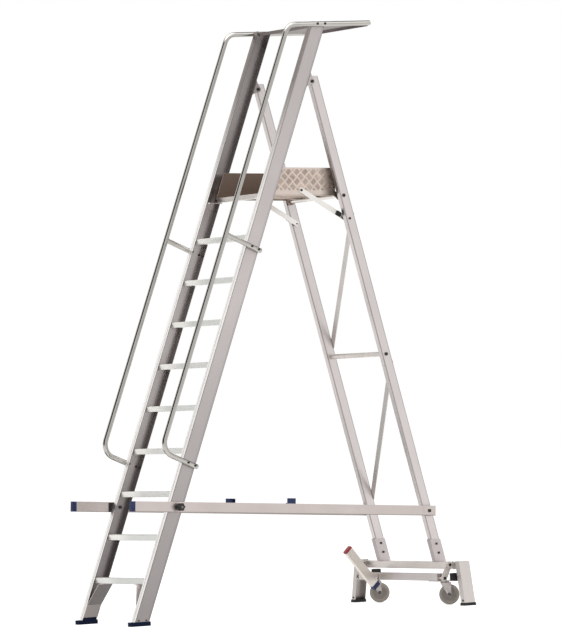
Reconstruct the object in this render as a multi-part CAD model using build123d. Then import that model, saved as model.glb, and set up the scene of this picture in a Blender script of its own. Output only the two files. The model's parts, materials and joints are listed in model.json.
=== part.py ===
from build123d import *
import math
import os

os.makedirs("parts", exist_ok=True)

# Driving dimensions, millimetres and degrees.
# Y is measured from the line where the stile fronts meet the floor, +Y to the rear, +Z up, +X to the right.

# Steps and stiles
RISE = 250.0
STEP_COUNT = 9
FIRST_STEP_HEIGHT = 270.0
STEP_DEPTH = 78.0
STEP_HEIGHT = 33.0
STEP_WALL = 2.4
STEP_RIB_PITCH = 6.5
STEP_RIB_HEIGHT = 1.6
STILE_ANGLE = 68.0
WIDTH_OVER_STILES = 600.0
STILE_DEPTH = 92.0
STILE_FLANGE = 38.0
STILE_WALL = 3.0
STILE_ABOVE_RAIL = 14.0
FIT_GAP = 0.3

# Braces below the first step
BRACE_PLATE = 4.0
STEP_BRACE_REACH = 62.0
STEP_BRACE_FOOT = 40.0
STEP_BRACE_FOLD = 113.0
STEP_BRACE_TAB = 30.0
STEP_BRACE_STRUT = 4.8

# Front feet
FOOT_PAD = 25.0
FOOT_NOSE = 14.0
FOOT_HEEL = 8.0
FOOT_PLUG = 16.0
FOOT_SIDE = 3.0
FOOT_RIVET_RISE = 8.0
FOOT_RIVET_INSET = 22.0

# Handrails and tray
RAIL_DIAMETER = 30.0
RAIL_WALL = 2.0
RAIL_OFFSET = 170.0
RAIL_BEND = 80.0
RAIL_ABOVE_PLATFORM = 1011.0
RAIL_RUN = 422.6
RAIL_TILT = 2.6
RAIL_FOOT = 1006.6
RAIL_TAIL_PAST_STILE = 4.0
STUB_BELOW_PLATFORM = 251.0
RAIL_BOLT_FRONT = 22.0
RAIL_BOLT_REAR = 18.0
PLUG_LIP = 3.0
PLUG_BEVEL = 35.0
PLUG_LENGTH = 16.0
TRAY_SHEET = 3.0
TRAY_LIP = 18.0
TRAY_FRONT = 6.0

# Platform
PLATFORM_SIDE_GAP = 12.0
PLATFORM_HEIGHT = 30.0
PLATFORM_SETBACK = 52.0
NOSING_DEPTH = 35.0
NOSING_ROUND = 5.5
DECK_TO_PIVOT = 30.0
DECK_DROP = 3.0
DECK_HEIGHT = 12.0
DECK_SHEET = 4.0
DECK_BAYS = 3
TOE_BOARD_HEIGHT = 149.0
TOE_BOARD_SHEET = 4.0
TOE_BOARD_DROP = 9.0
PIVOT_EYE_WALL = 11.0
CLEAT_REACH = 61.0
CLEAT_PLATE = 6.0
CLEAT_DROP = 40.0

# Rear legs
LEG_FOOT_Y = 2340.0
LEG_DEPTH = 64.0
LEG_THICKNESS = 28.0
LEG_WALL = 2.5
LEG_INSET = 6.0
LEG_PAST_HINGE = 34.0
LEG_CORNER_GAP = 2.0
HINGE_BELOW_RAIL = 343.0
HINGE_BEHIND_STILE = 30.74
HINGE_AHEAD_OF_LEG = 19.9
HINGE_PIN = 12.0
HINGE_BOSS = 20.0
HINGE_PLATE = 3.7
HINGE_BASE = 4.0
HINGE_BASE_HALF = 45.0
RUNNING_GAP = 0.06

# Crossbars and diagonals
PIVOT_BELOW_PLATFORM = 17.0
PIVOT_AHEAD_OF_LEG = 5.7
CROSS_TUBE = 30.0
CROSS_TUBE_WALL = 2.5
MIDDLE_BAR_Z = 1540.0
DIAGONAL_WIDTH = 35.0
DIAGONAL_PLATE = 4.0
DIAGONAL_BELOW_PIVOT = 112.0
DIAGONAL_TO_CROSSBAR = 50.0
DIAGONAL_ABOVE_SLEEVE = 242.0

# Folding platform braces
BRACE_TOP_AHEAD_OF_PIVOT = 285.0
BRACE_TOP_ABOVE_PLATFORM = 16.0
BRACE_FOOT_AHEAD_OF_LEG = 5.0
BRACE_FOOT_BELOW_PLATFORM = 156.0
BRACE_WIDTH = 30.0
BRACE_BOLT = 8.0
BRACE_GAP = 0.5
BRACE_SLOT_GAP = 0.6
BRACE_SLOT_FLARE = 26.0
BRACE_PAST_PIN = 12.0
CLIP_FROM_FOOT = 64.0
CLIP_LENGTH = 36.0
CLIP_THICKNESS = 6.0

# Spreader bars and knobs
SPREADER_HEIGHT = 60.0
SPREADER_THICKNESS = 20.0
SPREADER_WALL = 2.0
SPREADER_STANDOFF = 4.0
KNOB_BEHIND_STILE_FRONT = 52.07
KNOB_HEIGHT = 678.0
STUD = 10.0
SPREADER_PIN_AHEAD_OF_LEG = 7.4
SPREADER_PIN_HEIGHT = 578.0
SPREADER_FRONT = 332.0
SPREADER_PAST_PIN = 48.0
SPREADER_CAP = 30.0
NOTCH_LEAN = 42.0
NOTCH_GAP = 0.4
SPREADER_CLIP_AT = 812.0
SPREADER_CLIP = 60.0
SPREADER_HOOK = 32.0
KNOB_DIAMETER = 50.0
KNOB_HUB = 28.0
KNOB_HUB_LENGTH = 14.0
KNOB_HEAD_LENGTH = 24.0
KNOB_LOBES = 6
KNOB_LOBE_RADIUS = 8.5

# Stabiliser beam, posts and rear feet
BEAM_AHEAD_OF_LEG = 3.6
BEAM_BOTTOM = 219.0
BEAM_TOP = 263.0
BEAM_DEPTH = 45.0
BEAM_WALL = 3.0
SLEEVE_TOP = 402.0
SLEEVE_DEPTH = 78.0
SLEEVE_PLATE = 3.5
SLEEVE_BOLT_RISES = (55.0, 111.0)
POST_TOP = 268.0
POST_SPLAY = 10.4
POST_OUTER_FOOT = 577.0
POST_THICKNESS = 38.0
POST_DEPTH = 80.0
POST_WALL = 3.0
REAR_PAD = 18.0
REAR_PAD_MARGIN = 4.0

# Castor lift
LINK_AHEAD_OF_BEAM = 22.5
LINK_BELOW_BEAM_TOP = 16.0
LINK_RUN = 41.0
LINK_DROP = 80.0
LINK_TO_POST = 61.7
LINK_PLATE = 6.0
LINK_END = 21.0
LINK_PIN = 12.0
PIN_HEAD = 9.0
PIN_HEAD_LENGTH = 3.0
EAR_GAP = 2.0
CASTOR_BAR = 45.0
CASTOR_BAR_ABOVE_PIN = 6.0
CASTOR_BAR_TO_LINK = 34.0
CASTOR_BAR_WALL = 3.0
CASTOR_FROM_BAR_END = 46.0
CASTOR_BEHIND_BAR = 70.0
CASTOR_PLATE = 4.0
CASTOR_PLATE_HALF = 40.0
CASTOR_TURN = 35.7
TRAIL = 25.0
WHEEL_RADIUS = 62.5
WHEEL_WIDTH = 26.0
WHEEL_LIFT = 1.5
WHEEL_RIM = 16.8
AXLE = 12.0
FORK_PLATE = 4.0
FORK_GAP = 2.0
FORK_CROWN = 7.0
CROWN_CLEARANCE = 4.0
KING_PIN = 12.0
BEARING_RADIUS = 26.0
PEDAL_TOP_AHEAD_OF_PIN = 295.0
PEDAL_TOP_ABOVE_PIN = 104.0
PEDAL_FOOT_AHEAD_OF_PIN = 77.0
PEDAL_FOOT_BELOW_PIN = 140.0
PEDAL_FROM_BAR_END = 198.0
PEDAL_HEIGHT = 54.0
PEDAL_THICKNESS = 28.0
PEDAL_WALL = 2.5
PEDAL_CAP_TOP = 14.0
PEDAL_CAP_FOOT = 26.0
PEDAL_CAP_STEM = 8.0
PEDAL_ARM = 8.0
PEDAL_ARM_RADIUS = 11.0
PEDAL_ARM_AT = 190.0
ARM_SLOT_SIDE = 2.0
ARM_SLOT_RISE = 21.0
ARM_SLOT_DEPTH = 12.0
BUFFER_LENGTH = 46.0
BUFFER_HEIGHT = 21.0
BUFFER_FROM_BAR_END = 152.0
END_PLUG = 40.0
END_PLUG_HEIGHT = 45.0
END_PLUG_PAST_BAR = 32.0
END_PLUG_BEHIND_BAR = 69.0

# Fasteners
BOLT = 8.0
BOLT_HEAD = 13.0
BOLT_HEAD_HEIGHT = 5.0
BIG_BOLT_HEAD = 19.0
BIG_BOLT_HEIGHT = 6.5
RIVET = 5.0
RIVET_HEAD = 2.2
HOLE_GAP = 0.1

# Worked out from the driving dimensions
LEAN = 1 / math.tan(math.radians(STILE_ANGLE))
STILE_SIN = math.sin(math.radians(STILE_ANGLE))
STILE_COS = math.cos(math.radians(STILE_ANGLE))
STILE_RUN = STILE_DEPTH / STILE_SIN
STILE_WALL_RUN = STILE_WALL / STILE_SIN
STILE_OUT = WIDTH_OVER_STILES / 2
STILE_WEB = STILE_OUT - STILE_WALL
STILE_TIP = STILE_OUT - STILE_FLANGE


def front(z):
    """Y of the stile front at a height."""
    return LEAN * z


# Platform, handrail and hinge heights
PLATFORM_TOP = FIRST_STEP_HEIGHT + STEP_COUNT * RISE
PLATFORM_BOTTOM = PLATFORM_TOP - PLATFORM_HEIGHT
PLATFORM_HALF_WIDTH = STILE_TIP - PLATFORM_SIDE_GAP
PLATFORM_INNER = PLATFORM_HALF_WIDTH - TOE_BOARD_SHEET
RAIL_TOP = PLATFORM_TOP + RAIL_ABOVE_PLATFORM
RAIL_SLOPE = math.tan(math.radians(RAIL_TILT))
RAIL_X = STILE_OUT + RAIL_DIAMETER / 2
RAIL_RADIUS = RAIL_DIAMETER / 2
STUB_HEIGHT = PLATFORM_TOP - STUB_BELOW_PLATFORM
STILE_TOP = RAIL_TOP + STILE_ABOVE_RAIL
HINGE_Z = RAIL_TOP - HINGE_BELOW_RAIL
HINGE_Y = front(HINGE_Z) + STILE_RUN + HINGE_BEHIND_STILE

# Rear legs, from the hinge to the floor
LEG_TOP = HINGE_Z + LEG_PAST_HINGE
LEG_LEAN = (LEG_FOOT_Y - HINGE_Y - HINGE_AHEAD_OF_LEG) / HINGE_Z
LEG_SLOPE = math.atan2(1, LEG_LEAN)
LEG_SIN = math.sin(LEG_SLOPE)
LEG_COS = math.cos(LEG_SLOPE)
LEG_RUN = LEG_DEPTH / LEG_SIN
LEG_OUT = STILE_OUT - LEG_INSET
LEG_IN = LEG_OUT - LEG_THICKNESS


def leg_axis(z):
    """Y of the leg's centre line at a height."""
    return LEG_FOOT_Y - LEG_LEAN * z


# Pivots and pins on the legs
PLATFORM_PIVOT_Z = PLATFORM_TOP - PIVOT_BELOW_PLATFORM
PLATFORM_PIVOT_Y = leg_axis(PLATFORM_PIVOT_Z) - PIVOT_AHEAD_OF_LEG
DECK_REAR = PLATFORM_PIVOT_Y - DECK_TO_PIVOT
BRACE_TOP_Y = PLATFORM_PIVOT_Y - BRACE_TOP_AHEAD_OF_PIVOT
BRACE_TOP_Z = PLATFORM_TOP + BRACE_TOP_ABOVE_PLATFORM
BRACE_FOOT_Z = PLATFORM_TOP - BRACE_FOOT_BELOW_PLATFORM
BRACE_FOOT_Y = leg_axis(BRACE_FOOT_Z) - BRACE_FOOT_AHEAD_OF_LEG
UPPER_DIAGONAL = (PLATFORM_PIVOT_Z - DIAGONAL_BELOW_PIVOT, MIDDLE_BAR_Z + DIAGONAL_TO_CROSSBAR)
LOWER_DIAGONAL = (MIDDLE_BAR_Z - DIAGONAL_TO_CROSSBAR, SLEEVE_TOP + DIAGONAL_ABOVE_SLEEVE)
KNOB_Z = KNOB_HEIGHT
KNOB_Y = front(KNOB_Z) + KNOB_BEHIND_STILE_FRONT
SPREADER_PIN_Z = SPREADER_PIN_HEIGHT
SPREADER_PIN_Y = leg_axis(SPREADER_PIN_Z) - SPREADER_PIN_AHEAD_OF_LEG
SPREADER_IN = STILE_OUT + SPREADER_STANDOFF
SPREADER_OUT = SPREADER_IN + SPREADER_THICKNESS
SPREADER_X = (SPREADER_IN + SPREADER_OUT) / 2
SPREADER_TILT = math.degrees(math.atan2(KNOB_Z - SPREADER_PIN_Z, SPREADER_PIN_Y - KNOB_Y))
SPREADER_SPAN = math.hypot(KNOB_Z - SPREADER_PIN_Z, SPREADER_PIN_Y - KNOB_Y)

# Stabiliser beam and castor lift
BEAM_Y = leg_axis(BEAM_TOP) - BEAM_AHEAD_OF_LEG
BEAM_FRONT = BEAM_Y - BEAM_DEPTH / 2
POST_LEAN = math.tan(math.radians(POST_SPLAY))
LINK_TOP_Y = BEAM_FRONT - LINK_AHEAD_OF_BEAM
LINK_TOP_Z = BEAM_TOP - LINK_BELOW_BEAM_TOP
LINK_FOOT_Y = LINK_TOP_Y - LINK_RUN
LINK_FOOT_Z = LINK_TOP_Z - LINK_DROP
LINK_X = POST_OUTER_FOOT - POST_LEAN * LINK_TOP_Z - POST_THICKNESS - LINK_TO_POST
CASTOR_BAR_Z = LINK_FOOT_Z + CASTOR_BAR_ABOVE_PIN
CASTOR_BAR_HALF = LINK_X - CASTOR_BAR_TO_LINK
CASTOR_BAR_BOTTOM = CASTOR_BAR_Z - CASTOR_BAR / 2
CASTOR_PLATE_BOTTOM = CASTOR_BAR_BOTTOM - CASTOR_PLATE
CASTOR_X = CASTOR_BAR_HALF - CASTOR_FROM_BAR_END
CASTOR_Y = LINK_FOOT_Y + CASTOR_BEHIND_BAR
BUFFER_X = BUFFER_FROM_BAR_END - CASTOR_BAR_HALF
PEDAL_TOP_Y = LINK_TOP_Y - PEDAL_TOP_AHEAD_OF_PIN
PEDAL_TOP_Z = LINK_TOP_Z + PEDAL_TOP_ABOVE_PIN
PEDAL_FOOT_Y = LINK_TOP_Y - PEDAL_FOOT_AHEAD_OF_PIN
PEDAL_FOOT_Z = LINK_TOP_Z - PEDAL_FOOT_BELOW_PIN
PEDAL_X = CASTOR_BAR_HALF - PEDAL_FROM_BAR_END
PEDAL_OUT = PEDAL_X + PEDAL_THICKNESS / 2
AXLE_Z = WHEEL_RADIUS + WHEEL_LIFT

# Ends of the whole object, which set the origin
TURN = math.radians(CASTOR_TURN)
WHEEL_REAR = CASTOR_Y + (TRAIL + WHEEL_RADIUS) * math.cos(TURN) + WHEEL_WIDTH / 2 * math.sin(TURN)
PAD_REAR = BEAM_Y + POST_DEPTH / 2 + REAR_PAD_MARGIN
SPREADER_NOSE = (KNOB_Y - SPREADER_FRONT * math.cos(math.radians(SPREADER_TILT))
                 - SPREADER_HEIGHT / 2 * math.sin(math.radians(SPREADER_TILT)))
FRONT_END = min(SPREADER_NOSE, -FOOT_NOSE)
REAR_END = max(WHEEL_REAR, PAD_REAR)
Y_ORIGIN = (FRONT_END + REAR_END) / 2

nodes = {}


def block(x0, x1, y0, y1, z0, z1):
    """Box between two corners."""
    return Pos((x0 + x1) / 2, (y0 + y1) / 2, (z0 + z1) / 2) * Box(x1 - x0, y1 - y0, z1 - z0)


def leaning(x0, x1, y0, y1, z0, z1, run_x=0.0, run_y=0.0):
    """Bar with level ends: its foot is the given rectangle and its top is moved by the run."""
    foot = Pos((x0 + x1) / 2, (y0 + y1) / 2, z0) * Rectangle(x1 - x0, y1 - y0)
    return Solid.extrude(foot.face(), Vector(run_x, run_y, z1 - z0))


def rod_x(x0, x1, y, z, radius):
    """Round bar along X."""
    return Pos((x0 + x1) / 2, y, z) * Rot(0, 90, 0) * Cylinder(radius, abs(x1 - x0))


def plate_x(outline, x0, x1):
    """Plate between two X planes from an outline drawn as (y, z)."""
    return extrude(Plane.YZ.offset(x0) * outline, x1 - x0)


def hex_x(x0, x1, y, z, across):
    """Hexagon along X, its size given across the flats."""
    return plate_x(Pos(y, z) * RegularPolygon(across / 2, 6, major_radius=False), x0, x1)


def outer_bolt(x_seat, x_nut, y, z, size=BOLT, head=BOLT_HEAD, height=BOLT_HEAD_HEIGHT):
    """Bolt from the right, with its head outside the seat and its nut inside."""
    shank = rod_x(x_nut - height, x_seat + height, y, z, size / 2)
    return shank + hex_x(x_seat, x_seat + height, y, z, head) + hex_x(x_nut - height, x_nut, y, z, head)


def left_of(shape):
    """The same piece on the left side."""
    return mirror(shape, about=Plane.YZ)


def add_pair(name, shape):
    """A right and a left node."""
    nodes[name + "_right"] = [shape]
    nodes[name + "_left"] = [left_of(shape)]


def add_both(name, shapes):
    """One node with the pieces of both sides."""
    nodes.setdefault(name, [])
    for shape in shapes:
        nodes[name] += [shape, left_of(shape)]


def along_stile(s, n):
    """(y, z) at s up the stile and n behind its rear face, from level with the hinge pin."""
    base_z = HINGE_Z + (HINGE_Y - front(HINGE_Z) - STILE_RUN) * STILE_SIN * STILE_COS
    base_y = front(base_z) + STILE_RUN
    return (base_y + s * STILE_COS + n * STILE_SIN, base_z + s * STILE_SIN - n * STILE_COS)


def rail_y(z):
    """Y of the handrail's slanted centre line."""
    return front(z) - RAIL_OFFSET / STILE_SIN


def top_run(distance):
    """Point on the handrail's top run, behind the stile's front face by the given distance."""
    tilt = math.radians(RAIL_TILT)
    return (front(RAIL_TOP) + distance * math.cos(tilt), RAIL_TOP + distance * math.sin(tilt))


# Places of the handrail's bolts: (y, z) on the tail, the stub and the top run
TAIL_START = (rail_y(RAIL_FOOT), RAIL_FOOT)
STUB_START = (rail_y(STUB_HEIGHT), STUB_HEIGHT)


def square_run(start, past_front):
    """Point on a line square to the stile, past the stile's front face by the given distance."""
    run = RAIL_OFFSET + past_front
    return (start[0] + run * STILE_SIN, start[1] - run * STILE_COS)


BOLT_INSETS = (RAIL_BOLT_FRONT, STILE_DEPTH - RAIL_BOLT_REAR)
RAIL_BOLTS = [square_run(start, inset) for start in (TAIL_START, STUB_START) for inset in BOLT_INSETS]
RAIL_BOLTS += [top_run(inset / STILE_SIN) for inset in BOLT_INSETS]
RIVET_Z = FOOT_PAD + FOOT_RIVET_RISE
RIVET_INSETS = (FOOT_RIVET_INSET, STILE_DEPTH - FOOT_RIVET_INSET)
FOOT_RIVETS = [(front(RIVET_Z) + inset / STILE_SIN, RIVET_Z) for inset in RIVET_INSETS]


def make_stiles():
    foot = front(FOOT_PAD)
    height = STILE_TOP - FOOT_PAD
    run = LEAN * height
    outer = leaning(STILE_TIP, STILE_OUT, foot, foot + STILE_RUN, FOOT_PAD, STILE_TOP, run_y=run)
    hollow = leaning(STILE_TIP - STILE_WALL, STILE_WEB, foot + STILE_WALL_RUN,
                     foot + STILE_RUN - STILE_WALL_RUN, FOOT_PAD, STILE_TOP, run_y=run)
    stile = outer - hollow
    for y, z in RAIL_BOLTS:
        stile -= rod_x(STILE_WEB - STILE_WALL, STILE_OUT + STILE_WALL, y, z, BOLT / 2 + HOLE_GAP)
    for y, z in FOOT_RIVETS:
        stile -= rod_x(STILE_WEB - STILE_WALL, STILE_OUT + STILE_WALL, y, z, RIVET / 2 + HOLE_GAP)
    stile -= rod_x(STILE_WEB - STILE_WALL, STILE_OUT + STILE_WALL, KNOB_Y, KNOB_Z, STUD / 2 + HOLE_GAP)
    add_pair("stile", stile)


def step_profile(top):
    """Hollow step section with a ribbed top, drawn as (y, z)."""
    nose = front(top) + STILE_WALL_RUN + FIT_GAP
    base = top - STEP_RIB_HEIGHT
    body = Pos(nose + STEP_DEPTH / 2, base - (STEP_HEIGHT - STEP_RIB_HEIGHT) / 2) * RectangleRounded(
        STEP_DEPTH, STEP_HEIGHT - STEP_RIB_HEIGHT, STEP_WALL)
    rib_count = int(STEP_DEPTH / STEP_RIB_PITCH) - 1
    first_rib = nose + (STEP_DEPTH - (rib_count - 1) * STEP_RIB_PITCH) / 2
    for index in range(rib_count):
        rib = Rectangle(STEP_RIB_PITCH / 2, 2 * STEP_RIB_HEIGHT)
        body += Pos(first_rib + index * STEP_RIB_PITCH, base) * rib
    hollow = Rectangle(STEP_DEPTH - 2 * STEP_WALL, STEP_HEIGHT - STEP_RIB_HEIGHT - 2 * STEP_WALL)
    middle = Rectangle(STEP_WALL, STEP_HEIGHT - STEP_RIB_HEIGHT)
    centre = Pos(nose + STEP_DEPTH / 2, base - (STEP_HEIGHT - STEP_RIB_HEIGHT) / 2)
    return body - centre * (hollow - middle)


def make_steps():
    for index in range(STEP_COUNT):
        profile = step_profile(FIRST_STEP_HEIGHT + index * RISE)
        nodes["step_" + str(index + 1)] = [plate_x(profile, -STILE_WEB, STILE_WEB)]


def make_step_braces():
    """Bent flat plates from the inner edges of the stile to the underside of the first step."""
    top = FIRST_STEP_HEIGHT - STEP_HEIGHT
    lip = top - BRACE_PLATE
    y0 = front(STEP_BRACE_FOOT)
    y1 = front(STEP_BRACE_FOLD)
    y2 = front(lip) + STILE_WALL_RUN + FIT_GAP
    slant = STEP_BRACE_STRUT
    inner = STILE_TIP - STEP_BRACE_REACH
    foot_tab = leaning(STILE_TIP - BRACE_PLATE, STILE_TIP, y0, y0 + STILE_RUN, STEP_BRACE_FOOT,
                       STEP_BRACE_FOLD, run_y=y1 - y0)
    strut = leaning(STILE_TIP - slant, STILE_TIP, y1, y1 + STILE_RUN, STEP_BRACE_FOLD, lip,
                    run_x=-STEP_BRACE_REACH + slant, run_y=front(lip) - y1)
    top_tab = block(inner - STEP_BRACE_TAB, inner + slant, y2, y2 + STEP_DEPTH - 2 * FIT_GAP, lip, top)
    add_both("step_braces", [foot_tab + strut + top_tab])


def make_front_feet():
    """Plastic shoe: a level pad under the stile with a plug inside the channel."""
    pad = block(STILE_TIP - FOOT_SIDE, STILE_OUT + FOOT_SIDE, -FOOT_NOSE,
                front(FOOT_PAD) + STILE_RUN + FOOT_HEEL, 0, FOOT_PAD)
    pad = fillet(pad.edges().filter_by(Axis.Z), FOOT_SIDE)
    y0 = front(FOOT_PAD) + STILE_WALL_RUN + FIT_GAP
    y1 = front(FOOT_PAD) + STILE_RUN - STILE_WALL_RUN - FIT_GAP
    plug = leaning(STILE_TIP, STILE_WEB, y0, y1, FOOT_PAD, FOOT_PAD + FOOT_PLUG, run_y=LEAN * FOOT_PLUG)
    foot = pad + plug
    for y, z in FOOT_RIVETS:
        foot -= rod_x(STILE_TIP, STILE_WEB, y, z, RIVET / 2 + HOLE_GAP)
    add_both("front_feet", [foot])


def rail_path():
    """Centre line of a handrail: tail on the stile, slanted rail, top run rising a little to the rear."""
    tail = square_run(TAIL_START, STILE_DEPTH + RAIL_TAIL_PAST_STILE)
    bend_z = RAIL_TOP - RAIL_SLOPE * RAIL_OFFSET / STILE_SIN / (1 - RAIL_SLOPE * LEAN)
    points = [tail, TAIL_START, (rail_y(bend_z), bend_z), top_run(RAIL_RUN)]
    return FilletPolyline(*[(RAIL_X, y, z) for y, z in points], radius=RAIL_BEND)


def pipe_along(path, outer, inner=0.0):
    """Tube or bar swept on a path."""
    section = Circle(outer)
    if inner:
        section -= Circle(inner)
    return sweep(Plane(path @ 0, z_dir=path % 0) * section, path=path)


def make_handrails():
    path = rail_path()
    rail = pipe_along(path, RAIL_RADIUS, RAIL_RADIUS - RAIL_WALL)
    for y, z in RAIL_BOLTS[:2] + RAIL_BOLTS[4:]:
        rail -= rod_x(STILE_OUT - RAIL_WALL, RAIL_X + RAIL_DIAMETER, y, z, BOLT / 2 + HOLE_GAP)
    add_pair("handrail", rail)

    stub_end = square_run(STUB_START, STILE_DEPTH + RAIL_TAIL_PAST_STILE)
    stub_path = Line((RAIL_X, *STUB_START), (RAIL_X, *stub_end))
    stub = pipe_along(stub_path, RAIL_RADIUS, RAIL_RADIUS - RAIL_WALL) - pipe_along(path, RAIL_RADIUS)
    for y, z in RAIL_BOLTS[2:4]:
        stub -= rod_x(STILE_OUT - RAIL_WALL, RAIL_X + RAIL_DIAMETER, y, z, BOLT / 2 + HOLE_GAP)
    add_both("handrail_stubs", [max(stub.solids(), key=lambda piece: piece.volume)])

    plugs = []
    ends = [(path @ 0, path % 0 * -1), (path @ 1, path % 1), (stub_path @ 1, stub_path % 1)]
    for point, outward in ends:
        seat = Plane(point, z_dir=outward)
        lip = extrude(seat * Circle(RAIL_RADIUS), PLUG_LIP, taper=PLUG_BEVEL)
        stem = extrude(seat * Circle(RAIL_RADIUS - RAIL_WALL - HOLE_GAP), -PLUG_LENGTH)
        plugs.append(lip + stem)
    add_both("handrail_plugs", plugs)


def make_handrail_bolts():
    bolts = [outer_bolt(RAIL_X + RAIL_RADIUS, STILE_WEB, y, z) for y, z in RAIL_BOLTS]
    add_both("handrail_bolts", bolts)


def make_tray():
    """Shallow sheet tray between the handrails, with turned-down front and rear lips."""
    y0 = TRAY_FRONT
    z1 = TRAY_SHEET / 2
    z0 = z1 - TRAY_SHEET
    sheet = block(-STILE_OUT, STILE_OUT, y0, RAIL_RUN, z0, z1)
    notch_rear = LEAN * (z1 + STILE_RUN * RAIL_SLOPE) + STILE_RUN + 2 * FIT_GAP
    notch = block(STILE_TIP - FIT_GAP, STILE_OUT + RAIL_WALL, 0.0, notch_rear, z0, z1)
    sheet -= notch
    sheet -= left_of(notch)
    half = STILE_TIP - FIT_GAP
    sheet += block(-half, half, y0, y0 + TRAY_SHEET, z1 - TRAY_LIP, z1)
    sheet += block(-STILE_OUT, STILE_OUT, RAIL_RUN - TRAY_SHEET, RAIL_RUN, z1 - TRAY_LIP, z1)
    sheet += block(-half, half, y0, y0 + TRAY_LIP, z1 - TRAY_LIP, z1 - TRAY_LIP + TRAY_SHEET)
    nodes["top_tray"] = [Pos(0, front(RAIL_TOP), RAIL_TOP) * Rot(RAIL_TILT, 0, 0) * sheet]


def make_cleats():
    """Angles on the stiles that carry the front of the platform."""
    z1 = PLATFORM_BOTTOM
    z0 = z1 - CLEAT_PLATE
    foot = z1 - CLEAT_DROP
    inset = STILE_WALL_RUN + FIT_GAP
    shelf_rear = front(z0) + STILE_RUN - inset
    shelf = block(STILE_WEB - CLEAT_REACH, STILE_WEB, front(z1) + inset, shelf_rear, z0, z1)
    y0 = front(foot) + inset
    upright = leaning(STILE_WEB - CLEAT_PLATE, STILE_WEB, y0, y0 + STILE_RUN - 2 * inset, foot, z0,
                      run_y=LEAN * (z0 - foot))
    add_both("platform_cleats", [shelf + upright])


def make_hinge_brackets():
    """U brackets on the rear flanges of the stiles, one cheek each side of the leg."""
    base = [along_stile(-HINGE_BASE_HALF, 0), along_stile(HINGE_BASE_HALF, 0),
            along_stile(HINGE_BASE_HALF, HINGE_BASE), along_stile(-HINGE_BASE_HALF, HINGE_BASE)]
    reach = (HINGE_Y - front(HINGE_Z) - STILE_RUN) * STILE_SIN
    cheek = [along_stile(-HINGE_BASE_HALF, 0), along_stile(HINGE_BASE_HALF, 0),
             along_stile(HINGE_BOSS, reach), along_stile(-HINGE_BOSS, reach)]
    outline = make_face(Polyline(*cheek, close=True)) + Pos(HINGE_Y, HINGE_Z) * Circle(HINGE_BOSS)
    inner = LEG_IN - FIT_GAP
    outer = LEG_OUT + FIT_GAP
    bracket = plate_x(make_face(Polyline(*base, close=True)), inner - HINGE_PLATE, outer + HINGE_PLATE)
    bracket += plate_x(outline, inner - HINGE_PLATE, inner)
    bracket += plate_x(outline, outer, outer + HINGE_PLATE)
    pin_hole = HINGE_PIN / 2 + HOLE_GAP
    bracket -= rod_x(LEG_IN - LEG_THICKNESS, LEG_OUT + LEG_THICKNESS, HINGE_Y, HINGE_Z, pin_hole)
    add_both("hinge_brackets", [bracket])
    return inner - HINGE_PLATE, outer + HINGE_PLATE


def make_ladder_fasteners(hinge_inner, hinge_outer):
    """Hinge bolts, spreader studs with their washers, and foot rivets."""
    pieces = [outer_bolt(hinge_outer, hinge_inner, HINGE_Y, HINGE_Z, HINGE_PIN, BIG_BOLT_HEAD)]
    stud_end = SPREADER_OUT + KNOB_HUB_LENGTH + KNOB_HEAD_LENGTH / 2
    stud = rod_x(STILE_WEB - BIG_BOLT_HEIGHT, stud_end, KNOB_Y, KNOB_Z, STUD / 2)
    stud += hex_x(STILE_WEB - BIG_BOLT_HEIGHT, STILE_WEB, KNOB_Y, KNOB_Z, BIG_BOLT_HEAD)
    stud += rod_x(STILE_OUT, SPREADER_IN - FIT_GAP, KNOB_Y, KNOB_Z, BIG_BOLT_HEAD / 2)
    pieces.append(stud)
    for y, z in FOOT_RIVETS:
        rivet = rod_x(STILE_TIP + STILE_WALL, STILE_OUT + RIVET_HEAD / 2, y, z, RIVET / 2)
        pieces.append(rivet + rod_x(STILE_OUT, STILE_OUT + RIVET_HEAD, y, z, RIVET))
    add_both("ladder_fasteners", pieces)


# Bolt places on the legs: (y, z)
MIDDLE_BAR_Y = leg_axis(MIDDLE_BAR_Z)
SLEEVE_BOLTS = [(leg_axis(BEAM_TOP + rise), BEAM_TOP + rise) for rise in SLEEVE_BOLT_RISES]


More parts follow.
